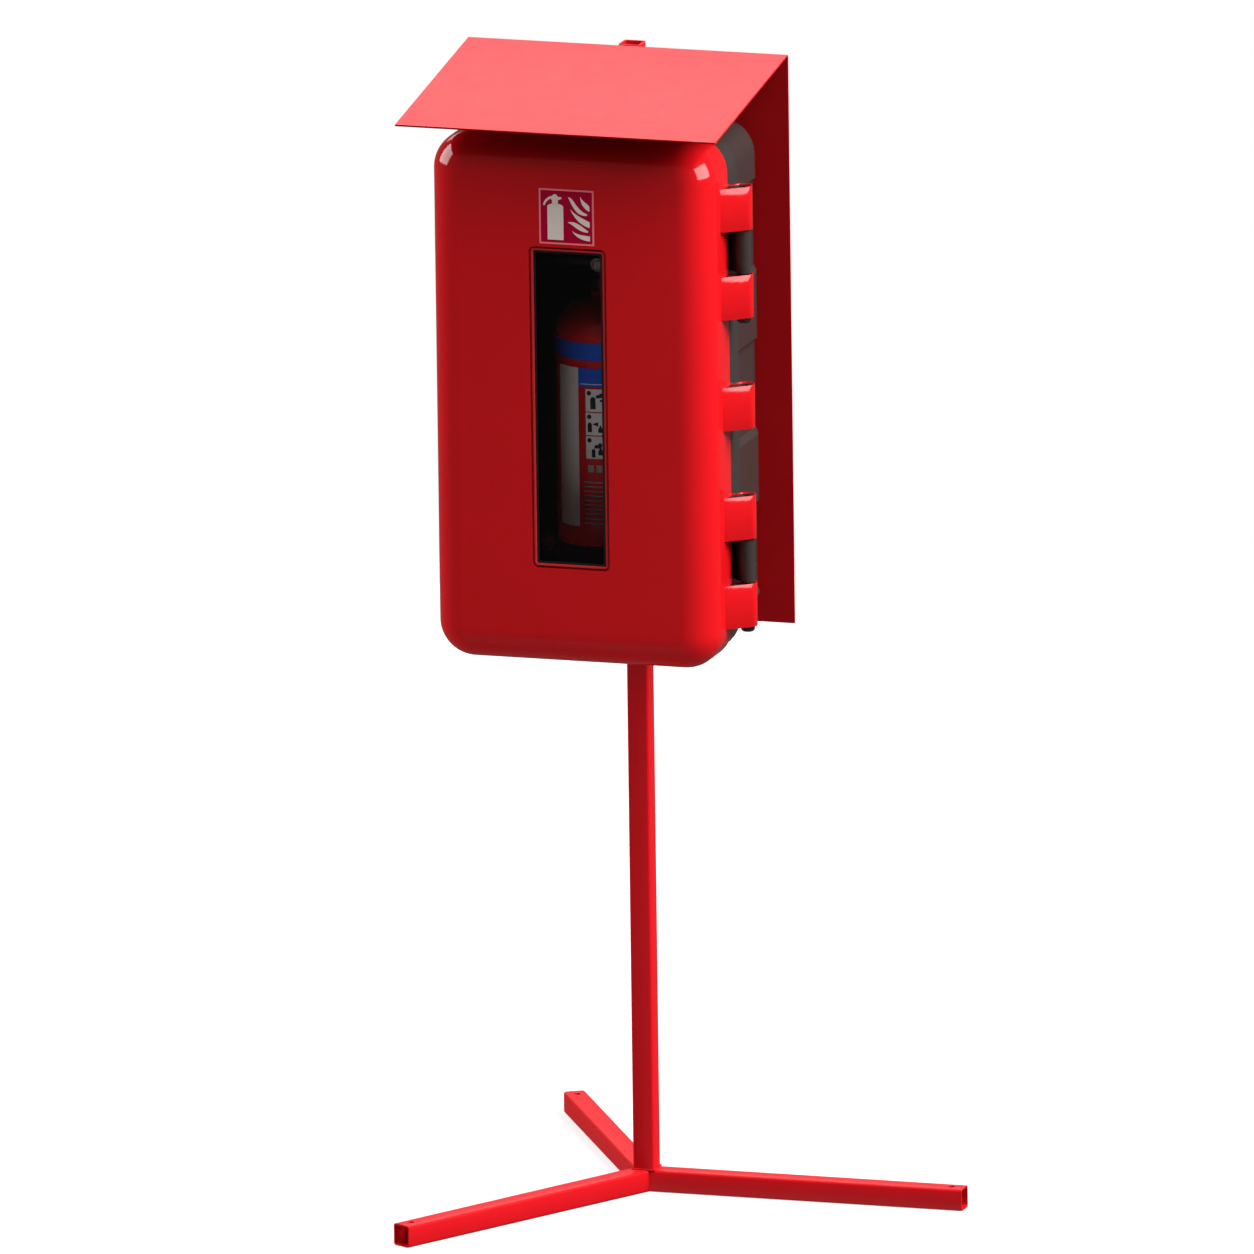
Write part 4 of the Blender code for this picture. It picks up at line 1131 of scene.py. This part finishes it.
@dataclass
class SafetySign(Dresser):
    """The printed sign over the window: a bottle and flames on a crimson square."""

    half_width: float = 0.0318
    half_height: float = 0.0314
    middle: float = 1.16795
    border: float = 2.1
    film: float = 0.0003
    ink: float = 0.00012

    def flat(self, name: str, points: list[Flat], rear: float, thickness: float) -> Piece:
        """A flat shape on the door's front, from its outline in millimetres about the sign's centre."""
        outline = [self.at(x * MM, rear, self.middle + z * MM) for x, z in points]
        return Bench.sheet(name, outline, (0.0, -thickness, 0.0))

    def bottle(self) -> list[list[Flat]]:
        """The drawn bottle, its head and its hose.

        Returns:
            Their outlines.
        """
        body = [(-22.0, -26.4), (-3.6, -26.4), (-3.6, 11.6), (-5.4, 13.4), (-8.8, 14.6)]
        body += [(-16.8, 14.6), (-20.2, 13.4), (-22.0, 11.6)]
        head = [(-16.4, 14.0), (-9.6, 14.0), (-9.6, 19.4), (-16.4, 19.4)]
        crown = [(-17.2, 18.9), (-9.4, 18.9), (-5.6, 20.4), (-5.4, 22.2), (-9.8, 22.6)]
        crown += circle_points((-13.2, 22.4), 3.0, 15.0, 165.0, 10) + [(-17.2, 22.6)]
        hose = bent((-16.9, 23.1), (-21.5, 22.3), (-25.8, 18.6), (-27.0, 12.4))
        hose += bent((-25.0, 12.4), (-23.8, 15.9), (-21.0, 19.4), (-16.9, 20.2))
        return [body, head, crown, hose]

    def flames(self) -> list[list[Flat]]:
        """The drawn flames, each swept down from its tip to the sign's right edge."""
        return [bent(tip, a, b, end) + bent(foot, c, d, tip)[:-1] for tip, a, b, end, foot, c, d in TONGUES]

    def build(self) -> None:
        """Build the sign's film, its border and its two figures."""
        back = self.cabinet.front - 0.00002
        face = back - self.film
        half_x, half_z, edge = self.half_width / MM, self.half_height / MM, self.border
        film = self.flat("sign_film", rounded_box(half_x, half_z, 1.2), back, self.film)
        self.give(film, "sign_border", Slot.RED_PLASTIC)
        inside = self.flat("sign_field", rounded_box(half_x - edge, half_z - edge, 0.4), face, self.ink)
        self.give(inside, "sign_field", Slot.RED_PLASTIC)
        shapes = [
            self.flat(f"figure_{index}", points, face - self.ink * (0.9 + 0.02 * index), self.ink)
            for index, points in enumerate(self.bottle() + self.flames())
        ]
        self.give(Bench.join("sign_figures", shapes), "sign_figure", Slot.RED_PLASTIC)


@dataclass
class Extinguisher(Dresser):
    """The bottle's printed band and label, and its gauge's face."""

    body: Body = Body.STAND
    centre_depth: float = -0.115
    radius: float = 0.055
    steps: int = 40
    film: float = 0.0002
    squares: tuple[float, ...] = (0.9290, 0.9022, 0.8754)
    square_left: float = -6.0
    square_sweep: float = 23.0
    square_height: float = 0.0255
    row_ends: tuple[float, ...] = (42.0, 44.0, 38.0, 44.0, 41.0, 30.0, 44.0, 40.0, 43.0, 24.0)
    dial_face: float = -0.1391
    dial_height: float = 1.0893
    dial_radius: float = 0.0066
    zone_outer: float = 0.0056
    zone_inner: float = 0.0036

    def wrap(
        self, name: str, left: float, right: float, low: float, high: float, out: float = 0.0002
    ) -> Piece:
        """A film wrapped on the bottle.

        Args:
            name: The object's name.
            left: Its left edge, as an angle in degrees from straight ahead.
            right: Its right edge.
            low: Its lower edge's height.
            high: Its upper edge's height.
            out: How far its face stands off the bottle.

        Returns:
            The object.
        """
        steps = max(2, int(self.steps * (right - left) / 180.0))
        centre, start, end = (0.0, self.centre_depth), left - 90.0, right - 90.0
        outer = circle_points(centre, self.radius + out, start, end, steps)
        inner = circle_points(centre, self.radius + 0.00003, end, start, steps)
        outline = [self.at(x, y, low) for x, y in outer + inner]
        return Bench.sheet(name, outline, (0.0, 0.0, high - low))

    def build(self) -> None:
        """Build the band, the label, what is printed on it, and the gauge's face."""
        parts = (
            ("bottle_blue_band", -100.0, 100.0, 0.987, 1.0065, self.film, "label_blue"),
            ("label_strip", -47.5, -15.5, 0.797, 0.978, self.film, "label_white"),
            ("label_blue_head", -15.4, 47.5, 0.957, 0.978, self.film, "label_blue"),
            ("label_head_line", -12.0, 44.0, 0.9595, 0.9605, 0.0003, "label_white"),
        )
        for *sizes, finish in parts:
            self.give(self.wrap(*sizes), finish, Slot.CYLINDER)
        across, tall = (self.square_left, self.square_left + self.square_sweep), self.square_height
        squares = [self.wrap("label_square", *across, low, low + tall) for low in self.squares]
        self.give(Bench.join("label_squares", squares), "label_white", Slot.CYLINDER)
        drawn = zip(self.squares, self.drawings())
        marks = [self.patch(outline, base) for base, outlines in drawn for outline in outlines]
        self.give(Bench.join("label_square_marks", marks), "label_dark", Slot.CYLINDER)
        rows = [(-9.0, reach, 0.8010 + 0.0052 * (9 - row), 0.0013) for row, reach in enumerate(self.row_ends)]
        rows += [(left, left + 7.0, 0.8600, 0.0080) for left in (-4.0, 6.0, 20.0, 31.0)]
        for low in (0.9330, 0.9070, 0.8810):
            rows += [(21.0, 44.0 - 4.0 * (step % 2), low + 0.0046 * step, 0.0012) for step in range(4)]
        lines = [self.wrap("label_row", left, right, low, low + tall) for left, right, low, tall in rows]
        self.give(Bench.join("label_rows", lines), "label_grey", Slot.CYLINDER)
        self.dial()

    def patch(self, outline: list[Flat], base: float) -> Piece:
        """One small printed shape, laid on the bottle over a label square.

        Args:
            outline: Its corners in millimetres from the square's lower left corner.
            base: The square's lower edge's height.

        Returns:
            The object.
        """
        corners = []
        out = self.radius + 0.0004
        for x, z in outline:
            angle = math.radians(self.square_left) + x * MM / self.radius
            side, depth = out * math.sin(angle), self.centre_depth - out * math.cos(angle)
            corners.append(self.at(side, depth, base + z * MM))
        return Bench.sheet("label_mark", corners, (0.0, 0.0003, 0.0))

    @staticmethod
    def drawings() -> list[list[list[Flat]]]:
        """Three little drawings: pull the pin, aim low, and squeeze the lever.

        Returns:
            The outlines of each drawing.
        """
        disc = circle_points((0.0, 0.0), 2.6, 0.0, 348.0, 29)
        bottle = [(-2.4, 0.0), (2.4, 0.0), (2.4, 9.0), (1.0, 11.0), (-1.0, 11.0), (-2.4, 9.0)]
        flame = [(-3.0, 0.0), (3.0, 0.0), (3.6, 3.0), (1.8, 7.5), (0.9, 4.6), (-0.6, 9.0), (-3.4, 3.4)]
        spray = [(0.0, 0.0), (9.0, 3.6), (9.4, -3.4)]
        hand = [(0.0, 0.0), (6.0, 0.0), (8.2, 2.0), (7.4, 5.4), (4.8, 5.4), (3.8, 3.6), (0.6, 3.4)]
        badge = (disc, 4.0, 21.0, 1.0)
        drawn = (
            (badge, (bottle, 8.5, 3.0, 1.25), (hand, 11.8, 15.6, 1.0), (disc, 17.5, 12.6, 0.5)),
            (badge, (bottle, 4.6, 3.4, 1.0), (spray, 7.6, 12.6, 0.7), (flame, 17.4, 3.0, 1.0)),
            (badge, (hand, 9.4, 12.0, 1.1), (bottle, 8.6, 1.8, 0.85), (flame, 17.4, 4.4, 1.1)),
        )
        return [
            [[(x + size * px, z + size * pz) for px, pz in shape] for shape, x, z, size in shapes]
            for shapes in drawn
        ]

    def dial(self) -> None:
        """The gauge's face: a pale disc, coloured zones and a needle, each a thin flat piece."""

        def sector(start: float, end: float) -> list[Flat]:
            """The outline of a band along the dial's edge, between two angles in degrees."""
            outer = circle_points((0.0, 0.0), self.zone_outer, start, end, 12)
            return outer + circle_points((0.0, 0.0), self.zone_inner, end, start, 12)

        disc = circle_points((0.0, 0.0), self.dial_radius, 0.0, 350.0, 35)
        needle = [(-0.0005, -0.0016), (0.0005, -0.0016), (0.0002, 0.0048), (-0.0002, 0.0048)]
        for name, outlines, out, finish in (
            ("gauge_dial", [disc], 0.0002, "label_grey"),
            ("gauge_green_zone", [sector(60.0, 120.0)], 0.0003, "label_green"),
            ("gauge_red_zones", [sector(-30.0, 56.0), sector(124.0, 210.0)], 0.0003, "label_red"),
            ("gauge_needle", [needle], 0.0006, "label_dark"),
        ):
            pieces = []
            for outline in outlines:
                corners = [self.at(x, self.dial_face - out, self.dial_height + z) for x, z in outline]
                pieces.append(Bench.sheet(name, corners, (0.0, out - 0.00002, 0.0)))
            self.give(Bench.join(name, pieces), finish, Slot.STEEL)


@dataclass
class SoftBox:
    """One area light, aimed at a point from a direction."""

    name: str
    direction: Point
    distance: float
    width: float
    height: float
    brightness: float
    gloss: bool = True
    diffuse: bool = True
    receivers: tuple[str, ...] = ()
    spared: tuple[str, ...] = ()
    target: Point = (0.0, -0.2, 1.1)

    def hang(self) -> None:
        """Add the light."""
        aim = Vector(self.direction).normalized()
        Bench.clear()
        bpy.ops.object.light_add(type="AREA", location=Vector(self.target) + aim * self.distance)
        light = bpy.context.active_object
        light.name = self.name
        light.rotation_euler = aim.to_track_quat("Z", "Y").to_euler()
        light.data.shape = "RECTANGLE"
        light.data.size = self.width
        light.data.size_y = self.height
        light.data.energy = self.brightness * math.pi * self.width * self.height
        light.visible_glossy = self.gloss
        light.visible_diffuse = self.diffuse
        light.visible_camera = False
        if self.receivers or self.spared:
            lit = bpy.data.collections.new(self.name + "_receivers")
            for name in self.receivers + self.spared:
                lit.objects.link(bpy.data.objects[name])
            for member in lit.collection_objects:
                member.light_linking.link_state = "EXCLUDE" if self.spared else "INCLUDE"
            light.light_linking.receiver_collection = lit


@dataclass
class Studio:
    """The floor, the lights and the camera."""

    cabinet: Cabinet
    azimuth: float = 17.57
    elevation: float = 13.32
    roll: float = 0.75
    distance: float = 60.0
    frame_width: float = 1.3958
    aim_height: float = 0.640
    aim_right: float = -0.01416
    aim_up: float = 0.00463
    floor_radius: float = 3.0
    fill_below: float = 0.06
    fill_steep: float = 0.85
    fill_start: float = 0.45
    gloss: float = 0.10

    def camera(self) -> None:
        """Set the camera at the photograph's angle."""
        across = math.radians(self.azimuth)
        above = math.radians(self.elevation)
        right = Vector((math.cos(across), math.sin(across), 0.0))
        level = math.cos(above)
        back = Vector((math.sin(across) * level, -math.cos(across) * level, math.sin(above)))
        up = back.cross(right)
        target = Vector(self.cabinet.at(0.0, 0.0, self.aim_height))
        target += right * self.aim_right + up * self.aim_up
        Bench.clear()
        bpy.ops.object.camera_add(location=target + back * self.distance)
        camera = bpy.context.active_object
        camera.name = "view_camera"
        turn = Matrix((right, up, back)).transposed() @ Matrix.Rotation(-math.radians(self.roll), 3, "Z")
        camera.rotation_euler = turn.to_euler()
        camera.data.sensor_width = 36.0
        camera.data.lens = camera.data.sensor_width * self.distance / self.frame_width
        camera.data.clip_start = 1.0
        camera.data.clip_end = 200.0
        bpy.context.scene.camera = camera

    def floor(self) -> None:
        """Lay a pale floor that runs out of sight."""
        Bench.clear()
        bpy.ops.mesh.primitive_circle_add(vertices=96, radius=self.floor_radius, fill_type="NGON")
        floor = Bench.named("floor")
        with Bench.edit(floor):
            bpy.ops.mesh.inset(thickness=self.floor_radius / 2)
        nodes = Nodes("floor_paint")
        nodes.mottle((0.30, 0.30, 0.30), 0.01, 2.0)
        nodes.put(Roughness=0.9, Specular_IOR_Level=0.0, Emission_Color=WHITE, Emission_Strength=0.68)
        floor.data.materials.append(nodes.material)
        floor.visible_diffuse = floor.visible_glossy = floor.visible_shadow = False

    def sky(self) -> None:
        """A white backdrop for the camera, and a dimmer even light for everything else."""
        world = bpy.data.worlds.new("studio")
        bpy.context.scene.world = world
        world.use_nodes = True
        tree = Tree(world.node_tree)
        place = tree.add("ShaderNodeTexCoord").outputs["Generated"]
        height = tree.add("ShaderNodeSeparateXYZ", Vector=place).outputs["Z"]
        ends = {"From_Min": self.fill_start, "To_Min": self.fill_below, "To_Max": self.fill_steep}
        rise = tree.add("ShaderNodeMapRange", Value=height, **ends).outputs["Result"]
        fill, shine, backdrop = (
            tree.add("ShaderNodeBackground", Color=WHITE, Strength=strength).outputs["Background"]
            for strength in (rise, self.gloss, 1.0)
        )
        rays = tree.add("ShaderNodeLightPath").outputs
        dim = tree.add("ShaderNodeMixShader", Fac=rays["Is Glossy Ray"])
        seen = tree.add("ShaderNodeMixShader", Fac=rays["Is Camera Ray"])
        for mix, first, second in ((dim, fill, shine), (seen, dim.outputs["Shader"], backdrop)):
            tree.join(first, mix.inputs[1])
            tree.join(second, mix.inputs[2])
        tree.fill(tree.tree.nodes["World Output"], Surface=seen.outputs["Shader"])

    def build(self) -> None:
        """Build the whole studio."""
        self.camera()
        self.floor()
        self.sky()
        glossy, canopy = ("door_moulding", "base_shell"), ("back_plate_and_canopy",)
        lights = (
            SoftBox("key_box", (0.72, 0.0, 0.69), 8.0, 5.6, 5.6, 16.0, gloss=False),
            SoftBox(
                "right_glint", (0.944, -0.05, 0.326), 8.0, 7.4, 4.7, 8.0, diffuse=False, receivers=glossy
            ),
            SoftBox("side_box", (0.95, -0.06, 0.30), 8.0, 5.0, 5.0, 2.0, gloss=False),
            SoftBox("left_box", (-0.945, 0.16, 0.285), 8.0, 7.0, 7.3, 4.4, gloss=False),
            SoftBox("left_glint", (-0.90, -0.15, 0.41), 7.5, 5.6, 5.6, 6.5, diffuse=False, receivers=glossy),
            SoftBox("low_box", (-0.20, -0.62, -0.76), 8.0, 5.0, 4.0, 3.9, gloss=False, spared=canopy),
            SoftBox("back_box", (-0.294, 0.80, 0.56), 8.0, 9.0, 3.6, 2.2),
        )
        for light in lights:
            light.hang()
        bpy.context.scene.view_settings.view_transform = "Standard"


def main() -> None:
    """Dress the whole object and set up the studio."""
    logging.basicConfig(level=logging.INFO, format="%(message)s")
    Bench.clear()
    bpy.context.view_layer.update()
    palette = Palette()
    cabinet = Cabinet()
    smoother = FacetSmoother()
    for finish, names in DRESSED.items():
        for name in names:
            smoother.dress(name, palette[finish])
    for work in (DoorShell, WindowTrim, Latches, Fixings, SafetySign, Extinguisher):
        work(cabinet, palette).build()
    Studio(cabinet).build()
    Bench.clear()


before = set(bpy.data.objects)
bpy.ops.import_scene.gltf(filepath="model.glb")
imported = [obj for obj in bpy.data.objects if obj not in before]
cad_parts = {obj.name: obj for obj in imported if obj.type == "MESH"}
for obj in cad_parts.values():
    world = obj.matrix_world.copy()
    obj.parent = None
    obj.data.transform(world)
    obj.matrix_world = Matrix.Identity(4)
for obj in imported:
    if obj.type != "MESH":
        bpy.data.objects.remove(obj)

if __name__ == "__main__":
    main()
